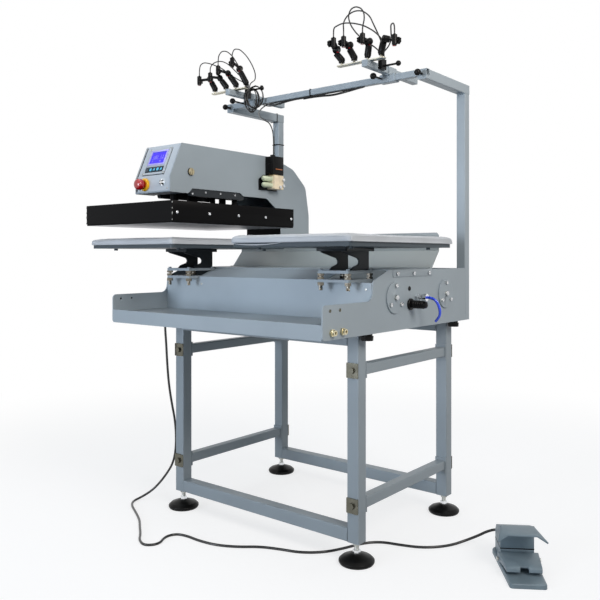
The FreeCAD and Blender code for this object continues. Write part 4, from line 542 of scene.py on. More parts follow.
def cut(piece, cutter):
    """Takes one solid out of another and deletes the cutter."""
    alone(piece)
    modifier = piece.modifiers.new("cut", "BOOLEAN")
    modifier.operation = "DIFFERENCE"
    modifier.solver = "EXACT"
    modifier.object = cutter
    bpy.ops.object.modifier_apply(modifier=modifier.name)
    bpy.data.objects.remove(cutter)


def join(pieces):
    """Joins several objects into the first."""
    alone(pieces[0])
    for piece in pieces:
        piece.select_set(True)
    bpy.ops.object.join()
    return pieces[0]


def scatter(model, places):
    """Copies a small piece to each point and direction in millimetres, joins the copies, drops the model."""
    copies = []
    for point, heading in places:
        bpy.ops.object.select_all(action="DESELECT")
        model.select_set(True)
        bpy.context.view_layer.objects.active = model
        bpy.ops.object.duplicate()
        copy = bpy.context.object
        turn = Vector((0, 0, 1)).rotation_difference(Vector(heading))
        copy.matrix_world = Matrix.Translation(Vector(point) * MM) @ turn.to_matrix().to_4x4()
        settle(copy)
        copies.append(copy)
    bpy.data.objects.remove(model)
    return join(copies)


def smooth(piece, degrees=30.0):
    alone(piece)
    bpy.ops.object.shade_smooth_by_angle(angle=math.radians(degrees))


def apply_all(piece):
    """Applies every modifier of a piece in order."""
    alone(piece)
    for modifier in list(piece.modifiers):
        bpy.ops.object.modifier_apply(modifier=modifier.name)


def turned_profile(profile):
    """Spins a profile of radius and height in millimetres into a closed turned piece on the origin."""
    bpy.ops.object.select_all(action="DESELECT")
    bpy.ops.mesh.primitive_plane_add(size=1.0)
    piece = bpy.context.object
    mesh = bmesh.new()
    row = [mesh.verts.new((radius * MM, 0, height * MM)) for radius, height in profile]
    for first, second in zip(row, row[1:]):
        mesh.edges.new((first, second))
    mesh.to_mesh(piece.data)
    mesh.free()
    open_up(piece, "VERT")
    bpy.ops.mesh.select_all(action="SELECT")
    bpy.ops.mesh.spin(steps=36, angle=math.tau, center=(0, 0, 0), axis=(0, 0, 1))
    bpy.ops.mesh.select_all(action="SELECT")
    bpy.ops.mesh.remove_doubles(threshold=0.00002)
    bpy.ops.mesh.normals_make_consistent(inside=False)
    close_up()
    return piece


def dressed(node, name, rules, edge_mm=0.0, drop=None, swell_mm=0.0, swollen=None):
    """Copies a CAD node as one merged mesh whose faces take the first finish that fits their place."""
    source = frame["nodes"][node]
    piece = bpy.data.objects.new(name, source.data.copy())
    bpy.context.scene.collection.objects.link(piece)
    open_up(piece)
    bpy.ops.mesh.select_all(action="SELECT")
    bpy.ops.mesh.remove_doubles(threshold=0.00001)
    bpy.ops.mesh.dissolve_limited(angle_limit=math.radians(1.0))
    if swell_mm:
        pick(piece, lambda middle, normal: swollen is None or swollen(middle / MM))
        bpy.ops.transform.shrink_fatten(value=swell_mm * MM)
        close_up()
        for vertex in piece.data.vertices:
            vertex.co.z = min(vertex.co.z, CAD_BOX[1][2])
        open_up(piece)
    if drop:
        pick(piece, lambda middle, normal: drop(middle / MM))
        bpy.ops.mesh.delete(type="FACE")
    close_up()
    if edge_mm:
        modifier = piece.modifiers.new("edges", "BEVEL")
        modifier.width = edge_mm * MM
        modifier.segments = 2
        modifier.limit_method = "ANGLE"
        modifier.angle_limit = math.radians(40.0)
        apply_all(piece)
    names = []
    for finish, _ in rules:
        if finish not in names:
            names.append(finish)
    piece.data.materials.clear()
    for finish in names:
        piece.data.materials.append(FINISHES[finish])
    for face in piece.data.polygons:
        middle = face.center / MM
        for finish, test in rules:
            if test(middle):
                face.material_index = names.index(finish)
                break
    smooth(piece)
    piece.name = name
    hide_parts(node)
    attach(piece, source["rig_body"])
    return piece


def rest(point):
    """The last rule of a dressed node: every face that no rule has taken."""
    return True


def spline(name, points, diameter, finish):
    """A round cord along one smooth open curve."""
    data = bpy.data.curves.new(name, "CURVE")
    data.dimensions = "3D"
    data.bevel_depth = diameter / 2
    data.bevel_resolution = 5
    data.resolution_u = 10
    data.use_fill_caps = True
    line = data.splines.new("NURBS")
    line.points.add(len(points) - 1)
    for slot, point in zip(line.points, points):
        slot.co = (*point, 1.0)
    line.order_u = 3
    line.use_endpoint_u = True
    piece = bpy.data.objects.new(name, data)
    bpy.context.scene.collection.objects.link(piece)
    data.materials.append(FINISHES[finish])
    return piece


PEDAL_CORD = [
    (-0.384, -0.243, 0.642), (-0.384, -0.296, 0.642), (-0.384, -0.296, 0.592), (-0.384, -0.291, 0.540),
    (-0.384, -0.288, 0.490), (-0.384, -0.281, 0.412), (-0.384, -0.268, 0.343), (-0.386, -0.252, 0.285),
    (-0.391, -0.242, 0.226), (-0.399, -0.238, 0.168), (-0.414, -0.238, 0.126), (-0.438, -0.241, 0.092),
    (-0.464, -0.249, 0.058), (-0.490, -0.262, 0.028), (-0.512, -0.290, 0.00775), (-0.512, -0.326, 0.00375),
    (-0.482, -0.356, 0.00375), (-0.415, -0.390, 0.00375), (-0.354, -0.424, 0.00375),
    (-0.308, -0.460, 0.00375), (-0.262, -0.494, 0.00375), (-0.228, -0.526, 0.00375),
    (-0.186, -0.542, 0.00375), (-0.160, -0.508, 0.00375), (-0.190, -0.462, 0.00375),
    (-0.180, -0.426, 0.00375), (-0.140, -0.417, 0.00375), (-0.096, -0.420, 0.00375),
    (-0.031, -0.412, 0.00375), (0.028, -0.382, 0.00375), (0.075, -0.341, 0.00375),
    (0.131, -0.318, 0.00375), (0.192, -0.300, 0.00375), (0.242, -0.256, 0.00375),
    (0.270, -0.196, 0.00375), (0.290, -0.134, 0.00375), (0.326, -0.094, 0.00375),
    (0.378, -0.080, 0.00375), (0.432, -0.060, 0.00375), (0.470, -0.026, 0.00375),
    (0.496, 0.016, 0.00375), (0.522, 0.052, 0.01275), (0.550, 0.074, 0.027), (0.56714, 0.08594, 0.038),
    (0.58634, 0.0986, 0.045), (0.60711, 0.09433, 0.048), (0.62253, 0.07096, 0.048),
]

SUPPLY_HOSE = [
    (0.4455, -0.042, 0.711), (0.4595, -0.042, 0.711), (0.4725, -0.039, 0.703), (0.4795, -0.034, 0.686),
    (0.4805, -0.030, 0.669), (0.4745, -0.026, 0.654), (0.4625, -0.023, 0.643),
]


class HEATPRESS_OT_cords(bpy.types.Operator):
    """The pedal cord, and the short supply hose with its open end"""
    bl_idname = "heatpress.cords"
    bl_label = "Cords"

    def execute(self, context):
        cord = spline("pedal_cord_sheath", PEDAL_CORD, sizes().cord, "cord_sheath")
        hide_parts("pedal_cord")
        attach(cord, "stand")
        hose = spline("blue_supply_hose", SUPPLY_HOSE, sizes().hose, "hose_blue")
        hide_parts("supply_hose")
        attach(hose, "stand")
        # Painted shade: a near-black disc in the end of the hose stands for the shade inside it.
        bore = disc(2.6, 0.5, 20)
        end, before = Vector(SUPPLY_HOSE[-1]), Vector(SUPPLY_HOSE[-2])
        heading = (end - before).normalized()
        bore = scatter(bore, [((end - heading * 0.3 * MM) / MM, heading)])
        give(bore, "hose_bore_shade", "stand", "painted_shade_black")
        return {"FINISHED"}


class HEATPRESS_OT_stage(bpy.types.Operator):
    """Pale floor, soft studio light and the camera of the photograph"""
    bl_idname = "heatpress.stage"
    bl_label = "Stage"

    def execute(self, context):
        bpy.ops.object.select_all(action="DESELECT")
        bpy.ops.mesh.primitive_circle_add(vertices=96, radius=14.0, fill_type="NGON", location=(0, 0, 0))
        floor = context.object
        floor.name = "studio_floor"
        floor.data.materials.append(self.floor_finish())
        self.light_world(context.scene)
        self.lamp("key_light", (-0.8, -3.7, 0.95), (0.0, 0.0, 0.95), 1.5, 10.0, "#e6f0ff", 60.0)
        self.lamp("side_light", (2.6, -0.9, 2.3), (-0.2, -0.1, 1.15), 1.2, 13.5, "#fff6ee", 80.0)
        self.lamp("top_light", (-0.2, -0.6, 4.2), (0.0, 0.0, 0.8), 2.8, 28.0, "#ffffff", 180.0)
        camera_data = bpy.data.cameras.new("photo_camera")
        camera = bpy.data.objects.new("photo_camera", camera_data)
        context.scene.collection.objects.link(camera)
        camera.location = (1.4464, -1.8547, 0.829)
        camera.rotation_euler = (math.radians(90.0), 0.0, math.radians(38.943))
        camera_data.lens = 43.09
        camera_data.sensor_width = 36.0
        camera_data.shift_y = -44 / 600
        context.scene.camera = camera
        context.scene.view_settings.view_transform = "Standard"
        return {"FINISHED"}

    def floor_finish(self):
        """Painted studio floor: matt and pale, with a soft shadow, that runs out into the white backdrop."""
        tone = linear("#a2a4a6")
        material, tree, shader, place = new_finish("studio_white", tone, 0.9, Specular_IOR_Level=0.1)
        mottle(tree, shader, place, tone, 900.0, 0.985, 1.0)
        glow = add(tree, "ShaderNodeEmission", {"Color": (1, 1, 1, 1), "Strength": 0.70})
        lit = add(tree, "ShaderNodeAddShader", links={0: shader.outputs["BSDF"], 1: glow.outputs["Emission"]})
        radius = add(tree, "ShaderNodeVectorMath", {"operation": "LENGTH"}, {0: place})
        far = add(tree, "ShaderNodeMapRange", {"From Min": 0.9, "From Max": 2.6, "interpolation_type": "SMOOTHSTEP"},
                  {"Value": radius.outputs["Value"]})
        white = add(tree, "ShaderNodeEmission", {"Color": (1, 1, 1, 1), "Strength": 1.0})
        faded = add(tree, "ShaderNodeMixShader", links={"Fac": far.outputs["Result"], 1: lit.outputs["Shader"],
                                                        2: white.outputs["Emission"]})
        mixed = add(tree, "ShaderNodeMixShader", links={"Fac": self.seen_directly(tree), 1: shader.outputs["BSDF"],
                                                        2: faded.outputs["Shader"]})
        output = next(node for node in tree.nodes if node.type == "OUTPUT_MATERIAL")
        tree.links.new(mixed.outputs["Shader"], output.inputs["Surface"])
        return material

    def seen_directly(self, tree):
        """One where a ray comes from the camera, a mirror or glass."""
        path = add(tree, "ShaderNodeLightPath")
        glossy = add(tree, "ShaderNodeMath", {"operation": "MAXIMUM"},
                     {0: path.outputs["Is Camera Ray"], 1: path.outputs["Is Glossy Ray"]})
        return add(tree, "ShaderNodeMath", {"operation": "MAXIMUM"},
                   {0: glossy.outputs["Value"], 1: path.outputs["Is Transmission Ray"]}).outputs["Value"]

    def light_world(self, scene):
        """Even studio light with a white backdrop for what the camera and mirrors see."""
        world = bpy.data.worlds.new("studio")
        world.use_nodes = True
        tree = world.node_tree
        tree.nodes.clear()
        ambient = add(tree, "ShaderNodeBackground", {"Color": linear("#eef2f6"), "Strength": 0.43})
        white = add(tree, "ShaderNodeBackground", {"Color": (1, 1, 1, 1), "Strength": 1.0})
        mixed = add(tree, "ShaderNodeMixShader", links={"Fac": self.seen_directly(tree),
                                                        1: ambient.outputs["Background"],
                                                        2: white.outputs["Background"]})
        add(tree, "ShaderNodeOutputWorld", links={"Surface": mixed.outputs["Shader"]})
        scene.world = world

    def lamp(self, name, place, target, size, power, code, spread):
        """A square soft box that points at a target."""
        data = bpy.data.lights.new(name, "AREA")
        data.size = size
        data.energy = power
        data.color = linear(code)[:3]
        data.spread = math.radians(spread)
        lamp = bpy.data.objects.new(name, data)
        lamp.location = place
        lamp.rotation_euler = (Vector(target) - Vector(place)).to_track_quat("-Z", "Y").to_euler()
        bpy.context.scene.collection.objects.link(lamp)


def soft_slab(low, high, corner, inset):
    """A slab with rounded upright corners, a little smaller than its space."""
    piece = block(Vector(low) + Vector((inset, inset, 0)), Vector(high) - Vector((inset, inset, 1.8 * inset)))
    open_up(piece, "EDGE")
    pick(piece, lambda middle, run: abs(run.z) > 0.9, "EDGE")
    bpy.ops.mesh.bevel(offset=corner, segments=5, affect="EDGES")
    close_up()
    return piece


def remesh(piece, voxel):
    modifier = piece.modifiers.new("voxels", "REMESH")
    modifier.mode = "VOXEL"
    modifier.voxel_size = voxel
    apply_all(piece)


def inflate(piece, floor_z, frames, cap):
    """Blows the slab up as tight cloth, with what rests on the plate held, and caps the movement."""
    before = [vertex.co.copy() for vertex in piece.data.vertices]
    held = piece.vertex_groups.new(name="held")
    held.add([v.index for v in piece.data.vertices if v.co.z < floor_z], 1.0, "REPLACE")
    alone(piece)
    cloth = piece.modifiers.new("cloth", "CLOTH")
    cloth.settings.vertex_group_mass = "held"
    cloth.settings.use_pressure = True
    cloth.settings.uniform_pressure_force = 4.0
    cloth.settings.effector_weights.gravity = 0.0
    cloth.settings.tension_stiffness = 12.0
    cloth.settings.compression_stiffness = 12.0
    cloth.point_cache.frame_start = 1
    cloth.point_cache.frame_end = frames
    scene = bpy.context.scene
    for step in range(1, frames + 1):
        scene.frame_set(step)
    apply_all(piece)
    scene.frame_set(1)
    for vertex, start in zip(piece.data.vertices, before):
        move = vertex.co - start
        if move.length > cap:
            vertex.co = start + move * (cap / move.length)


def draw_in(piece, low, high, depth):
    """Sides that pull in between the corners, puckers near the corners and small ripples along the edges."""
    middle = (Vector(low) + Vector(high)) / 2
    half = (Vector(high) - Vector(low)) / 2
    for vertex in piece.data.vertices:
        u = (vertex.co.x - middle.x) / half.x
        v = (vertex.co.y - middle.y) / half.y
        edge = max(abs(u), abs(v))
        if vertex.co.z > low[2] + 0.004:
            pull = depth * max(0.0, edge - 0.86) / 0.14
            if abs(u) > abs(v):
                vertex.co.x -= math.copysign(pull * (1 - v * v), u)
            else:
                vertex.co.y -= math.copysign(pull * (1 - u * u), v)
            rim = max(0.0, (edge - 0.7) / 0.3)
            ripple = noise.noise(Vector((vertex.co.x * 26, vertex.co.y * 26, 3.1)))
            fine = noise.noise(Vector((vertex.co.x * 90, vertex.co.y * 90, 7.7)))
            corner = max(0.0, abs(u) + abs(v) - 1.72) / 0.28
            vertex.co.z += MM * (0.5 * ripple * rim + 0.7 * fine * corner)


class HEATPRESS_OT_platen_covers(bpy.types.Operator):
    """The two fitted cloth covers of the lower platens, blown up as tight cloth, with their corner seams"""
    bl_idname = "heatpress.platen_covers"
    bl_label = "Platen covers"

    def execute(self, context):
        for side in ("left", "right"):
            low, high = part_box("platen_pad_" + side)
            cover = soft_slab(low, high, sizes().corner, 2.5 * MM)
            remesh(cover, sizes().voxel)
            inflate(cover, low.z + 4 * MM, sizes().frames, sizes().swell)
            draw_in(cover, low, high, 2.2 * MM)
            modifier = cover.modifiers.new("soften", "SUBSURF")
            modifier.levels = 1
            modifier.render_levels = 1
            apply_all(cover)
            alone(cover)
            bpy.ops.object.shade_smooth()
            give(cover, "platen_cover_" + side, "stand", "coated_cloth")
            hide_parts("platen_pad_" + side)
            self.seams(cover, side, low, high)
            self.stitching(cover, side, low, high)
        self.loose_hem(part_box("platen_pad_right")[0])
        return {"FINISHED"}

    def seams(self, cover, side, low, high):
        """The folded seam at each corner: in from the top, over the edge and down to the hem."""
        seams = []
        for sx in (-1, 1):
            for sy in (-1, 1):
                corner = Vector((low.x if sx < 0 else high.x, low.y if sy < 0 else high.y, 0))
                inward = Vector((-sx, -sy, 0)).normalized()
                points = []
                for reach, z in ((46, 0.0), (36, 0.0), (27, 0.0), (18, 0.0), (11, -1.5), (6, -5.0), (3, -10.0),
                                 (3, -15.0), (4, -20.0)):
                    guess = corner + inward * reach * MM + Vector((0, 0, high.z + z * MM))
                    _, spot, normal, _ = cover.closest_point_on_mesh(guess)
                    points.append(spot + normal * 0.15 * MM)
                seam = spline("seam", points, 1.5 * MM, "coated_cloth")
                alone(seam)
                bpy.ops.object.convert(target="MESH")
                seams.append(bpy.context.object)
        seam = join(seams)
        smooth(seam, 60.0)
        give(seam, "cover_seams_" + side, "stand", "coated_cloth")

    def stitching(self, cover, side, low, high):
        """The row of stitches a third of the way down the border, laid on the cover all the way round."""
        z = high.z - 7.5 * MM
        inset = sizes().corner
        ring = []
        for start, end in (((low.x + inset, low.y), (high.x - inset, low.y)),
                           ((high.x, low.y + inset), (high.x, high.y - inset)),
                           ((high.x - inset, high.y), (low.x + inset, high.y)),
                           ((low.x, high.y - inset), (low.x, low.y + inset))):
            for step in range(16):
                share = step / 15
                ring.append(Vector((start[0] + (end[0] - start[0]) * share,
                                    start[1] + (end[1] - start[1]) * share, z)))
        points = []
        for guess in ring:
            _, spot, normal, _ = cover.closest_point_on_mesh(guess)
            points.append(spot + normal * 0.1 * MM)
        row = spline("row", points, 1.1 * MM, "coated_cloth")
        row.data.splines[0].use_cyclic_u = True
        alone(row)
        bpy.ops.object.convert(target="MESH")
        row = bpy.context.object
        smooth(row, 60.0)
        give(row, "cover_stitching_" + side, "stand", "coated_cloth")

    def loose_hem(self, low):
        """The slack of the right cover's hem, which hangs a little below the front edge."""
        points = []
        for step in range(9):
            share = step / 8
            drop = 6.0 * math.sin(math.pi * share) ** 0.7
            points.append((low.x + (4 + 186 * share) * MM, low.y + 3.4 * MM, low.z + (0.6 - drop) * MM))
        hem = spline("hem", points, 2.6 * MM, "coated_cloth")
        for index, point in enumerate(hem.data.splines[0].points):
            point.radius = 0.25 + 0.75 * math.sin(math.pi * index / 8)
        alone(hem)
        bpy.ops.object.convert(target="MESH")
        hem = bpy.context.object
        smooth(hem, 60.0)
        give(hem, "cover_hem", "stand", "coated_cloth")


def slant(across, up, out=0.0):
    """A point of the controller's slanted face in millimetres: right of its middle, up from the knee, out."""
    rise = Vector((0.0, 46.0, 105.3)).normalized()
    face = Vector((0.0, -105.3, 46.0)).normalized()
    return Vector((-314.6 + across, -407.2, 1072.7)) + rise * up + face * out


SLANT_OUT = Vector((0.0, -105.3, 46.0)).normalized()


class HEATPRESS_OT_controller(bpy.types.Operator):
    """The controller on the head's front: bezel, lit screen with plain digits, flat keys and panel screws"""
    bl_idname = "heatpress.controller"
    bl_label = "Controller"

    def execute(self, context):
        dressed("display_unit", "controller_body", [
            ("lit_screen", lambda p: self.inside(p, 34.6, 48.0, 90.0, 3.05, 3.3)),
            ("rim_plastic", lambda p: self.inside(p, 40.2, 42.8, 95.2, 3.3, 5.2)),
            ("key_strip", lambda p: self.inside(p, 42.7, 16.8, 37.2, 0.9, 3.5)),
            # The bezel takes a tone made from the panel's lighter tone, so it carries the same painted light.
            ("bezel_coat_painted_light", rest)])
        self.digits()
        self.key_marks()
        screw = pan_screw(2.6, 1.2)
        places = []
        for across in (-59.0, 71.0):
            places.append((Vector((-314.6 + across, -407.2, 1036.5)), (0, -1, 0)))
        for across in (-46.5, 46.5):
            for up in (14.0, 100.0):
                places.append((slant(across, up, 3.0), SLANT_OUT))
        screws = scatter(screw, places)
        smooth(screws)
        give(screws, "panel_screws", "head", "zinc_plate")
        return {"FINISHED"}

    def inside(self, point, half, low, high, near, far):
        """True for a point of the slanted face within these steps."""
        step = point - Vector((-314.6, -407.2, 1072.7))
        up = step.dot(Vector((0.0, 46.0, 105.3)).normalized())
        out = step.dot(SLANT_OUT)
        return abs(step.x) <= half and low <= up <= high and near <= out <= far

    def digits(self):
        """Plain numbers on the screen, as such controllers show a temperature and a time."""
        words = []
        for text, across, up, size in (("180", -14.0, 71.0, 17.0), ("12", 17.0, 71.0, 17.0),
                                       ("0", -22.0, 56.5, 10.0), ("45", 14.0, 56.5, 10.0)):
            bpy.ops.object.select_all(action="DESELECT")
            bpy.ops.object.text_add()
            word = bpy.context.object
            word.data.body = text
            word.data.size = size * MM
            word.data.align_x = "CENTER"
            word.data.align_y = "CENTER"
            word.data.extrude = 0.15 * MM
            bpy.ops.object.convert(target="MESH")
            word = bpy.context.object
            tilt = math.atan2(105.3, 46.0)
            word.matrix_world = Matrix.Translation(slant(across, up, 3.4) * MM) @ Matrix.Rotation(tilt, 4, "X")
            settle(word)
            words.append(word)
        line = block(slant(-28, 64.0, 3.2) * MM, slant(28, 64.6, 3.5) * MM)
        words.append(line)
        digits = join(words)
        give(digits, "screen_digits", "head", "digit_white")

    def key_marks(self):
        """A plain mark on each flat key: a triangle, a bar or a ring."""
        marks = []
        tilt = math.atan2(105.3, 46.0)
        for index, sides in enumerate((4, 24, 3, 24, 3)):
            mark = disc(5.2 if sides > 4 else 6.0, 0.5, sides)
            if sides == 24:
                open_up(mark)
                pick(mark, lambda middle, normal: abs(normal.z) > 0.9)
                bpy.ops.mesh.inset(thickness=1.4 * MM)
                close_up()
            mark.matrix_world = (Matrix.Translation(slant(-32.8 + 16.4 * index, 27.0, 3.4) * MM)
                                 @ Matrix.Rotation(tilt, 4, "X"))
            settle(mark)
            marks.append(mark)
        dark = marks.pop(0)
        give(dark, "standby_mark", "head", "plate_coat")
        give(join(marks), "key_marks", "head", "key_marks")


class HEATPRESS_OT_head_hardware(bpy.types.Operator):
    """Buttons, rings and the slotted plug of the head, and the screws of the heat cover"""
    bl_idname = "heatpress.head_hardware"
    bl_label = "Head hardware"

    def execute(self, context):
        dressed("head_fittings", "head_rings", [
            ("satin_nickel", lambda p: p.y < -400.0),
            ("black_plastic", lambda p: p.x < -221.0 and (p.y + 328.0) ** 2 + (p.z - 1091.5) ** 2 > 84.0),
            ("olive_plastic", rest)], drop=lambda p: p.x < -320.0)
        self.stop_button()
        self.painted_reflection_petals()
        self.panel_shade_strips()
        dressed("head_shell", "head_casing", [
            # The front panel takes the lighter tone that paints the light on the head's front.
            ("panel_coat_painted_light", lambda p: self.on_front(p)),
            # Painted shade: the column's front face takes the black enamel to paint the deep shade of the open
            # channel behind it.
            ("satin_enamel", lambda p: 103.0 < p.y < 105.0 and p.z < 1040.0),
            ("powder_coat", rest)])
        dressed("upper_platen_cover", "heat_cover", [
            ("satin_enamel", rest)], drop=lambda p: abs(p.x + 308.6) > 204.4)
        dressed("heater_plate", "heater_casting", [
            ("satin_enamel", lambda p: abs(p.x + 308.6) > 202.0 or p.y < -506.8 or p.y > 29.3),
            ("cast_aluminium", rest)])
        heads = []
        for sign in (-1, 1):
            for y in (-490.5, -363.8, -239.4, -113.7, 15.9):
                heads.append((Vector((-308.6 + sign * 204.2, y, 953.8)), (sign, 0, 0)))
        screws = scatter(pan_screw(4.6, 2.4), heads)
        smooth(screws)
        give(screws, "cover_screws", "platen", "chrome_plate")
        self.guide_bolts()
        self.painted_corner_highlights()
        return {"FINISHED"}

    def painted_corner_highlights(self):
        """Painted highlight: short bright strips at the front corners of the heat cover, where the light catches its
        folded edge.
        """
        strips = [block(Vector((x - 0.5, -509.0, low)) * MM, Vector((x + 0.5, -507.6, high)) * MM, 0.2, 2)
                  for x in (-104.2, -513.0) for low, high in ((931, 934), (947, 954), (963, 967), (979, 984))]
        give(join(strips), "cover_corner_highlights", "platen", "zinc_plate")

    def on_front(self, point):
        """True for the recessed front panel of the head."""
        if point.z < 1072.7:
            return -409.0 < point.y < -403.0 and abs(point.x + 308.6) < 79.6 and point.z > 1029.0
        away = (point.y + 407.2) - (point.z - 1072.7) * 46.0 / 105.3
        return abs(away) < 1.5 and abs(point.x + 308.6) < 79.6

    def stop_button(self):
        """The stop button: a yellow collar on the panel and a red mushroom with a waist, turned as profiles."""
        collar = turned_profile([(0, 0), (20, 0), (20, 5.4), (18.6, 7.6), (16.2, 9), (12.4, 9), (11.4, 7), (0, 7)])
        collar = scatter(collar, [(Vector((-347.0, -407.2, 1052.0)), (0, -1, 0))])
        smooth(collar)
        give(collar, "stop_collar", "head", "stop_yellow")
        mushroom = turned_profile([(0, 0), (10.5, 0), (11.5, 4), (14, 9.5), (16.6, 12), (17.3, 15), (17.3, 21),
                                   (16.6, 24.6), (14.6, 27.6), (11.4, 29.5), (7.4, 30.5), (3.4, 30.95), (0, 31.0)])
        mushroom = scatter(mushroom, [(Vector((-347.0, -413.5, 1052.0)), (0, -1, 0))])
        smooth(mushroom, 50.0)
        give(mushroom, "stop_mushroom", "stop_button", "stop_red")
        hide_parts("estop_button")

    def painted_reflection_petals(self):
        """The four dark petals of the start button and the four over its ring: painted reflections of dark
        surroundings in their chrome.
        """
        self.petals("painted_reflection_petals", "start_button", "button_chrome", 4.2, 7.3, 2.3, -413.0)
        self.petals("ring_reflection_petals", "head", "stop_ring", 7.8, 10.3, 2.9, -409.6)

    def petals(self, name, body, slot, inner, outer, half, front):
        """Four dark blocks that stand in a cross on a round face, as a painted reflection."""
        petals = []
        for turn in range(4):
            petal = block((inner * MM, -half * MM, 0), (outer * MM, half * MM, 1.3 * MM), 0.3, 2)
            petal.matrix_world = Matrix.Rotation(math.radians(45.0 + 90.0 * turn), 4, "Z")
            settle(petal)
            petals.append(petal)
        petals = scatter(join(petals), [(Vector((-265.4, front, 1055.0)), (0, -1, 0))])
        give(petals, name, body, "black_plastic")

    def panel_shade_strips(self):
        """Painted shade: dark strips along the joint between the panel and the sheet beside it, and round the raised
        bezel, where shadow falls.
        """
        shade_strips = [block(Vector((-387.6, -407.9, 1030.0)) * MM, Vector((-385.4, -407.0, 1072.7)) * MM)]
        shade_strips.append(self.strip(-73.0, -70.8, 0.0, 110.0, 0.7))
        shade_strips.append(self.strip(51.0, 52.4, 9.0, 103.0, 0.35))
        shade_strips.append(self.strip(-50.0, 52.4, 8.4, 10.0, 0.35))
        give(join(shade_strips), "panel_shade_strips", "head", "painted_shade_black")

    def strip(self, left, right, low, high, out):
        """A thin flat strip on the slanted face."""
        piece = block(Vector((left, low, 0)) * MM, Vector((right, high, out)) * MM)
        tilt = math.atan2(105.3, 46.0)
        piece.matrix_world = Matrix.Translation(slant(0, 0) * MM) @ Matrix.Rotation(tilt, 4, "X")
        settle(piece)
        return piece

    def guide_bolts(self):
        """Bright cap screws on the side of the press beam."""
        places = [(Vector((-229.1, y, z)), (1, 0, 0))
                  for y, z in ((-318.0, 1024.0), (-262.0, 1031.0), (-196.0, 1031.0), (-128.0, 1031.0))]
        screws = scatter(socket_screw(3.4, 2.4), places)
        smooth(screws)
        give(screws, "beam_screws", "head", "bright_nickel")


class HEATPRESS_OT_air_unit(bpy.types.Operator):
    """The valve and regulator on the column, and the air fittings of the cabinet"""
    bl_idname = "heatpress.air_unit"
    bl_label = "Air unit"

    def execute(self, context):
        dressed("valve_unit", "valve_and_regulator", [
            ("black_plastic", lambda p: p.z > 1112.0),
            ("black_plastic", lambda p: p.x < -222.0),
            ("bowl_plastic", lambda p: p.y < 27.9),
            ("ivory_plastic", rest)], 0.8)
        face = -226.1
        self.box((face + 6, 19.5, 1118), (face + 32, 22.5, 1150), "valve_lid", "black_rubber", "black_plastic")
        self.box((face + 36.6, 34, 1130), (face + 38.4, 70, 1133), "valve_band", "ivory_plastic", "brown_band")
        self.box((face + 12, 34, 1175.5), (face + 24, 48, 1183), "valve_plug", "black_rubber", "black_plastic")
        nuts = scatter(hex_screw(11.0, 5.0), [(Vector((face + 38, y, z)), (1, 0, 0))
                                              for y, z in ((56.0, 1070.0), (74.0, 1075.0), (73.0, 1096.0))])
        give(nuts, "regulator_plugs", "head", "bright_nickel")
        elbows = scatter(disc(4.4, 13.0, 20), [(Vector((face + 14, 78, z)), (0, 1, 0)) for z in (1124.0, 1146.0)])
        smooth(elbows)
        give(elbows, "valve_ports", "head", "bright_nickel")
        dressed("air_fittings", "cabinet_fittings", [
            ("brass_plate", lambda p: p.y < -380.0), ("chrome_plate", rest)],
            drop=lambda p: -96.0 < p.y < -56.5 and p.z < 712.0)
        self.silencer()
        self.coupling()
        grommet = turned_profile([(0, 0), (6.6, 0), (6.6, 1.0), (5.8, 2.0), (4.0, 2.0), (3.2, 0.6), (0, 0.6)])
        grommet = scatter(grommet, [(Vector((409.5, -79.3, 737.1)), (1, 0, 0))])
        smooth(grommet)
        give(grommet, "pass_grommet", "stand", "moulded_rubber")
        return {"FINISHED"}

    def box(self, low, high, name, slot, finish):
        """A small rounded block on the head, between two corners in millimetres."""
        piece = block(Vector(low) * MM, Vector(high) * MM, 0.7, 2)
        smooth(piece)
        give(piece, name, "head", finish)

    def silencer(self):
        """The exhaust silencer: a black collar on the panel and a ribbed barrel with a domed end."""
        profile = [(0, 0), (15.5, 0), (16.5, 1.2), (16.5, 5), (15, 6.5), (10.2, 7)]
        for step in range(5):
            start = 11 + 7 * step
            profile += [(10.2, start), (11.6, start + 1.2), (11.6, start + 4.4), (10.2, start + 5.6)]
        profile += [(10.2, 49), (9.4, 52), (6.5, 54), (0, 54.6)]
        barrel = scatter(turned_profile(profile), [(Vector((409.6, -76.0, 692.5)), (1, 0, 0))])
        smooth(barrel)
        give(barrel, "silencer_barrel", "stand", "black_plastic")

    def coupling(self):
        """The hexagon of the push-in coupling and the release ring that the hose goes through."""
        nut = scatter(hex_screw(17.0, 12.0), [(Vector((417.0, -42.0, 711.0)), (1, 0, 0))])
        give(nut, "coupling_nut", "stand", "satin_nickel")
        ring = turned_profile([(0, 0), (8.2, 0), (8.6, 1), (8.6, 5.5), (7.6, 7.5), (6.0, 8.2), (0, 8.2)])
        ring = scatter(ring, [(Vector((436.5, -42.0, 711.0)), (1, 0, 0))])
        smooth(ring)
        give(ring, "coupling_ring", "stand", "satin_nickel")


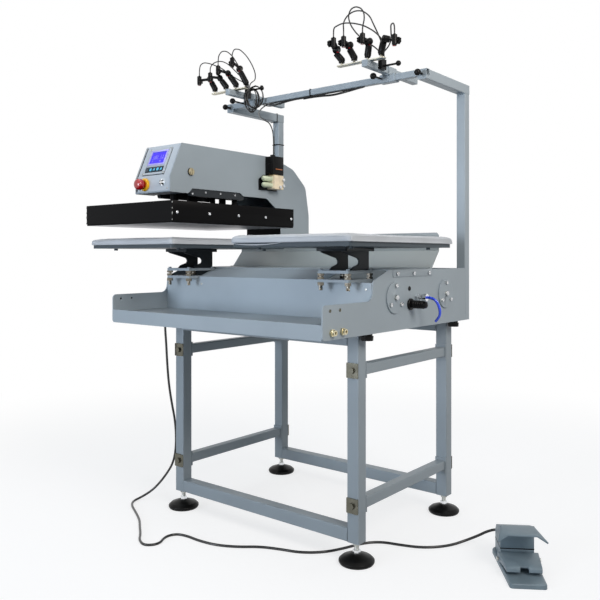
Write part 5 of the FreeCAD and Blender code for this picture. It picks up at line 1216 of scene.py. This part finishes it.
class HEATPRESS_OT_cabinet_hardware(bpy.types.Operator):
    """Top cover, screws, shaft covers and pedestals of the cabinet and stand"""
    bl_idname = "heatpress.cabinet_hardware"
    bl_label = "Cabinet hardware"

    def execute(self, context):
        dressed("base_top_cover", "cabinet_top", [("powder_coat", rest)], 0.4)
        dressed("shaft_end_covers", "shaft_covers", [
            ("powder_coat", lambda p: abs(p.x) < 413.6), ("zinc_plate", rest)])
        places = []
        for side in (-1, 1):
            for y in (-159.0, 134.0):
                places += [(Vector((side * 416.4, y + 33.0 * math.cos(math.radians(a)),
                                    715.0 + 33.0 * math.sin(math.radians(a)))), (side, 0, 0))
                           for a in (90, 215, 325)]
        for side in (-1, 1):
            places += [(Vector((side * 413.4, -148.0 + 88.0 * step, 780.0)), (side, 0, 0)) for step in range(3)]
        screws = scatter(socket_screw(5.4, 2.8), places)
        smooth(screws)
        give(screws, "cabinet_screws", "stand", "bright_nickel")
        plugs = scatter(socket_screw(4.4, 1.2), [(Vector((side * 409.6, y, 695.4)), (side, 0, 0))
                                                 for side in (-1, 1) for y in (-455.9, -414.5)])
        give(plugs, "wing_screws", "stand", "joint_zinc")
        bolts = scatter(hex_screw(13.0, 3.0), [(Vector((side * 418.4, y, 715.0)), (side, 0, 0))
                                               for side in (-1, 1) for y in (-159.0, 134.0)])
        give(bolts, "shaft_bolts", "stand", "bright_nickel")
        dressed("pedestals", "platen_pedestals", [
            ("dark_enamel", lambda p: p.z > 790.2 and (abs(abs(p.x) - 308.6) < 37.6 or p.z > 836.0)),
            ("powder_coat", lambda p: 781.9 < p.z <= 790.1 and abs(abs(p.x) - 308.6) < 52.2),
            ("powder_coat", lambda p: 757.9 < p.z < 766.1 and abs(abs(p.x) - 308.6) < 52.2),
            ("stud_brass", rest)], 0.0)
        rivets = scatter(pan_screw(3.6, 1.6), [(Vector((x, -267.9, 740.0)), (0, -1, 0))
                                               for x in (-388.0, -240.0, 240.0, 388.0)])
        smooth(rivets)
        give(rivets, "housing_screws", "stand", "zinc_plate")
        return {"FINISHED"}


class HEATPRESS_OT_feet(bpy.types.Operator):
    """The levelling feet: rubber domes, plated stems with their thread and lock nuts"""
    bl_idname = "heatpress.feet"
    bl_label = "Feet"

    def execute(self, context):
        for name in ("front_left", "front_right", "rear_left", "rear_right"):
            dressed("foot_" + name, "levelling_foot_" + name, [
                ("moulded_rubber", lambda p: p.z < 27.4), ("zinc_plate", rest)])
            low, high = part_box("foot_" + name)
            middle = (low + high) / 2
            rings = []
            for step in range(10):
                bpy.ops.object.select_all(action="DESELECT")
                bpy.ops.mesh.primitive_torus_add(location=(middle.x, middle.y, (28.5 + 2.0 * step) * MM),
                                                 major_radius=5.8 * MM, minor_radius=0.75 * MM,
                                                 major_segments=32, minor_segments=6)
                rings.append(bpy.context.object)
            thread = join(rings)
            smooth(thread, 60.0)
            give(thread, "foot_thread_" + name, "foot_" + name, "zinc_plate")
            nut = scatter(hex_screw(19.0, 10.0), [(Vector((middle.x / MM, middle.y / MM, 27.2)), (0, 0, 1))])
            give(nut, "foot_nut_" + name, "foot_" + name, "chrome_plate")
        return {"FINISHED"}


class HEATPRESS_OT_lasers(bpy.types.Operator):
    """The laser arms with plated strips and black elbows, and the laser heads with their red lenses"""
    bl_idname = "heatpress.lasers"
    bl_label = "Laser guides"

    def execute(self, context):
        for side in ("left", "right"):
            low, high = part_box("saddle_" + side)
            middle = (low.x + high.x) / 2 / MM
            dressed("laser_arm_" + side, "guide_arm_" + side, [
                ("gantry_coat", lambda p, m=middle: p.z < 1402.3 and abs(p.x - m) < 10.2),
                ("strip_zinc", lambda p, m=middle: self.on_strip(p, m)),
                ("black_plastic", rest)], swell_mm=1.8, swollen=lambda p, m=middle: self.on_elbow(p, m))
            dressed("laser_leads_" + side, "guide_leads_" + side, [("lead_sheath", rest)],
                    swell_mm=0.45 if side == "right" else 0.2)
            for index in range(1, 5):
                name = "laser_%s_%d" % (side, index)
                low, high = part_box(name)
                floor = low.z / MM
                dressed(name, name + "_body", [
                    ("red_lens", lambda p, f=floor: p.z < f + 0.6), ("black_plastic", rest)], swell_mm=1.0)
        self.hank()
        self.strands()
        return {"FINISHED"}

    def on_elbow(self, point, middle):
        """True for the black elbows that stand on the strip's posts."""
        return point.z > 1416.0 and not self.on_strip(point, middle)

    def cable(self, points, closed=False):
        """A thin lead along a smooth line, as a mesh."""
        lead = spline("lead", [Vector(point) * MM for point in points], 3.4 * MM, "lead_sheath")
        if closed:
            lead.data.splines[0].use_endpoint_u = False
            lead.data.splines[0].use_cyclic_u = True
            lead.data.splines[0].order_u = 4
        alone(lead)
        bpy.ops.object.convert(target="MESH")
        return bpy.context.object

    def hank(self):
        """The spare lead of the left guide: loose turns that hang from the clamp's stud."""
        across = Vector((0.7777, 0.6286, 0.0))
        back = Vector((-0.6286, 0.7777, 0.0))
        turns = []
        for shift, wide, tall, yaw, lean in ((-1, 27, 41, 0, 4), (3, 24, 38, 14, -8), (-3, 22, 43, -16, 10),
                                             (1, 26, 34, 22, 14), (0, 18, 40, -26, -12), (2, 21, 36, 8, 20)):
            side = across * math.cos(math.radians(yaw)) + back * math.sin(math.radians(yaw))
            middle = Vector((-260.0, -10.0, 1414.5 - tall)) + across * shift
            points = []
            for step in range(14):
                angle = math.tau * step / 14
                u, v = wide * math.cos(angle), tall * math.sin(angle)
                roll = math.radians(lean) * (1 - math.sin(angle)) / 2
                points.append(middle + side * (u * math.cos(roll) - v * math.sin(roll) * 0.4)
                              + Vector((0, 0, v)) + back * 3.0 * math.sin(2 * angle + yaw))
            turns.append(self.cable(points, True))
        hank = join(turns)
        smooth(hank, 60.0)
        give(hank, "lead_hank", "laser_arm_left", "lead_sheath")

    def strands(self):
        """The other leads that run with the first along the underside of the crossbar."""
        leads = [self.cable(points) for points in (
            [(-226, 12, 1361), (-208, 20, 1355), (-186, 24, 1353), (-150, 26, 1356), (-110, 27, 1358.5),
             (-60, 32, 1359), (-25, 32.5, 1359.6), (20, 32, 1356), (70, 32, 1352), (110, 31, 1354),
             (150, 30, 1358.2), (180, 30, 1360)],
            [(-230, 14, 1357), (-214, 19, 1350), (-190, 22, 1348.5), (-160, 24, 1352), (-120, 25, 1356.5),
             (-60, 25.5, 1358.8), (-25, 25.5, 1359.4), (15, 26, 1357), (60, 27, 1353.5), (100, 27, 1355.5),
             (140, 28, 1359.6)],
            [(-60, 29, 1355.6), (-25, 29, 1356.2), (20, 29, 1354), (60, 29.5, 1350.5), (100, 29, 1352.5),
             (150, 29, 1357.2), (172, 29, 1359.5)])]
        strands = join(leads)
        smooth(strands, 60.0)
        give(strands, "bar_strands", "stand", "lead_sheath")

    def on_strip(self, point, middle):
        """True for the slotted strip and the posts that stand on it."""
        return point.z < 1412.6 and (point.x < middle + 9.9 or point.y < -70.0)


def band(centre, half_a, half_b, axis, width):
    """A cable tie: a thin strap round a tube, with its square head on one side."""
    low = Vector(centre) * MM
    reach = {"x": Vector((width / 2, half_a * MM, half_b * MM)),
             "y": Vector((half_a * MM, width / 2, half_b * MM)),
             "z": Vector((half_a * MM, half_b * MM, width / 2))}[axis]
    strap = block(low - reach, low + reach)
    along = Vector([axis == letter for letter in "xyz"])
    open_up(strap)
    pick(strap, lambda middle, normal: abs(normal.dot(along)) > 0.9)
    bpy.ops.mesh.delete(type="ONLY_FACE")
    close_up()
    modifier = strap.modifiers.new("wall", "SOLIDIFY")
    modifier.thickness = 1.1 * MM
    modifier.offset = 1.0
    apply_all(strap)
    return strap


class HEATPRESS_OT_cable_ties(bpy.types.Operator):
    """Black cable ties that hold the leads to the gantry"""
    bl_idname = "heatpress.cable_ties"
    bl_label = "Cable ties"

    def execute(self, context):
        width = sizes().tie
        straps = []
        for x in (-25.0,):
            straps.append(band((x, 29.0, 1372.0), 10.6, 10.6, "x", width))
            straps.append(block(Vector((x - 2.6, 16.4, 1357.0)) * MM, Vector((x + 2.6, 22.0, 1361.5)) * MM, 0.5, 2))
        for z in (1264.0, 1010.0):
            straps.append(band((-394.15, 286.6, z), 16.0, 14.9, "z", width))
            straps.append(block(Vector((-399.0, 267.0, z - 2.6)) * MM, Vector((-393.6, 271.0, z + 2.6)) * MM, 0.5, 2))
        straps.append(band((-394.15, 262.0, 1366.5), 16.0, 16.0, "y", width))
        ties = join(straps)
        give(ties, "cable_ties", "stand", "black_plastic")
        return {"FINISHED"}


class HEATPRESS_OT_pedal(bpy.types.Operator):
    """The foot pedal: softened castings and the rubber joint"""
    bl_idname = "heatpress.pedal"
    bl_label = "Pedal"

    def execute(self, context):
        dressed("pedal_housing", "pedal_casting", [
            ("moulded_rubber", lambda p: 41.9 < p.z < 44.1), ("hammer_paint", rest)], 0.9)
        gasket = block(Vector((-44.9, 24.3, 41.3)) * MM, Vector((44.9, 104.7, 44.7)) * MM, 1.2, 2)
        gasket.matrix_world = (Matrix.Translation((0.702, -0.0096, 0.0))
                               @ Matrix.Rotation(math.radians(33.4), 4, "Z"))
        give(gasket, "pedal_gasket", "stand", "moulded_rubber")
        dressed("pedal_treadle", "pedal_plate", [("hammer_paint", rest)], 0.8)
        return {"FINISHED"}


class HEATPRESS_PT_dressing(bpy.types.Panel):
    """Buttons for each step of the dressing"""
    bl_idname = "HEATPRESS_PT_dressing"
    bl_label = "Heat Press"
    bl_space_type = "VIEW_3D"
    bl_region_type = "UI"
    bl_category = "Heat Press"

    def draw(self, context):
        for step in STEPS:
            self.layout.operator(step.bl_idname)


STEPS = (HEATPRESS_OT_finishes, HEATPRESS_OT_stage, HEATPRESS_OT_cords, HEATPRESS_OT_platen_covers,
         HEATPRESS_OT_controller, HEATPRESS_OT_head_hardware, HEATPRESS_OT_air_unit,
         HEATPRESS_OT_cabinet_hardware, HEATPRESS_OT_feet, HEATPRESS_OT_lasers, HEATPRESS_OT_cable_ties,
         HEATPRESS_OT_pedal)
CLASSES = (PressColours, PressSizes) + STEPS + (HEATPRESS_PT_dressing,)


def register():
    for item in CLASSES:
        bpy.utils.register_class(item)
    bpy.types.Scene.press_colours = bpy.props.PointerProperty(type=PressColours)
    bpy.types.Scene.press_sizes = bpy.props.PointerProperty(type=PressSizes)


def unregister():
    del bpy.types.Scene.press_sizes
    del bpy.types.Scene.press_colours
    for item in reversed(CLASSES):
        bpy.utils.unregister_class(item)


def main():
    """Dresses the press step by step."""
    register()
    for step in STEPS:
        group, name = step.bl_idname.split(".")
        if getattr(getattr(bpy.ops, group), name)() != {"FINISHED"}:
            raise RuntimeError(step.bl_label + " did not finish")


if __name__ == "__main__":
    main()
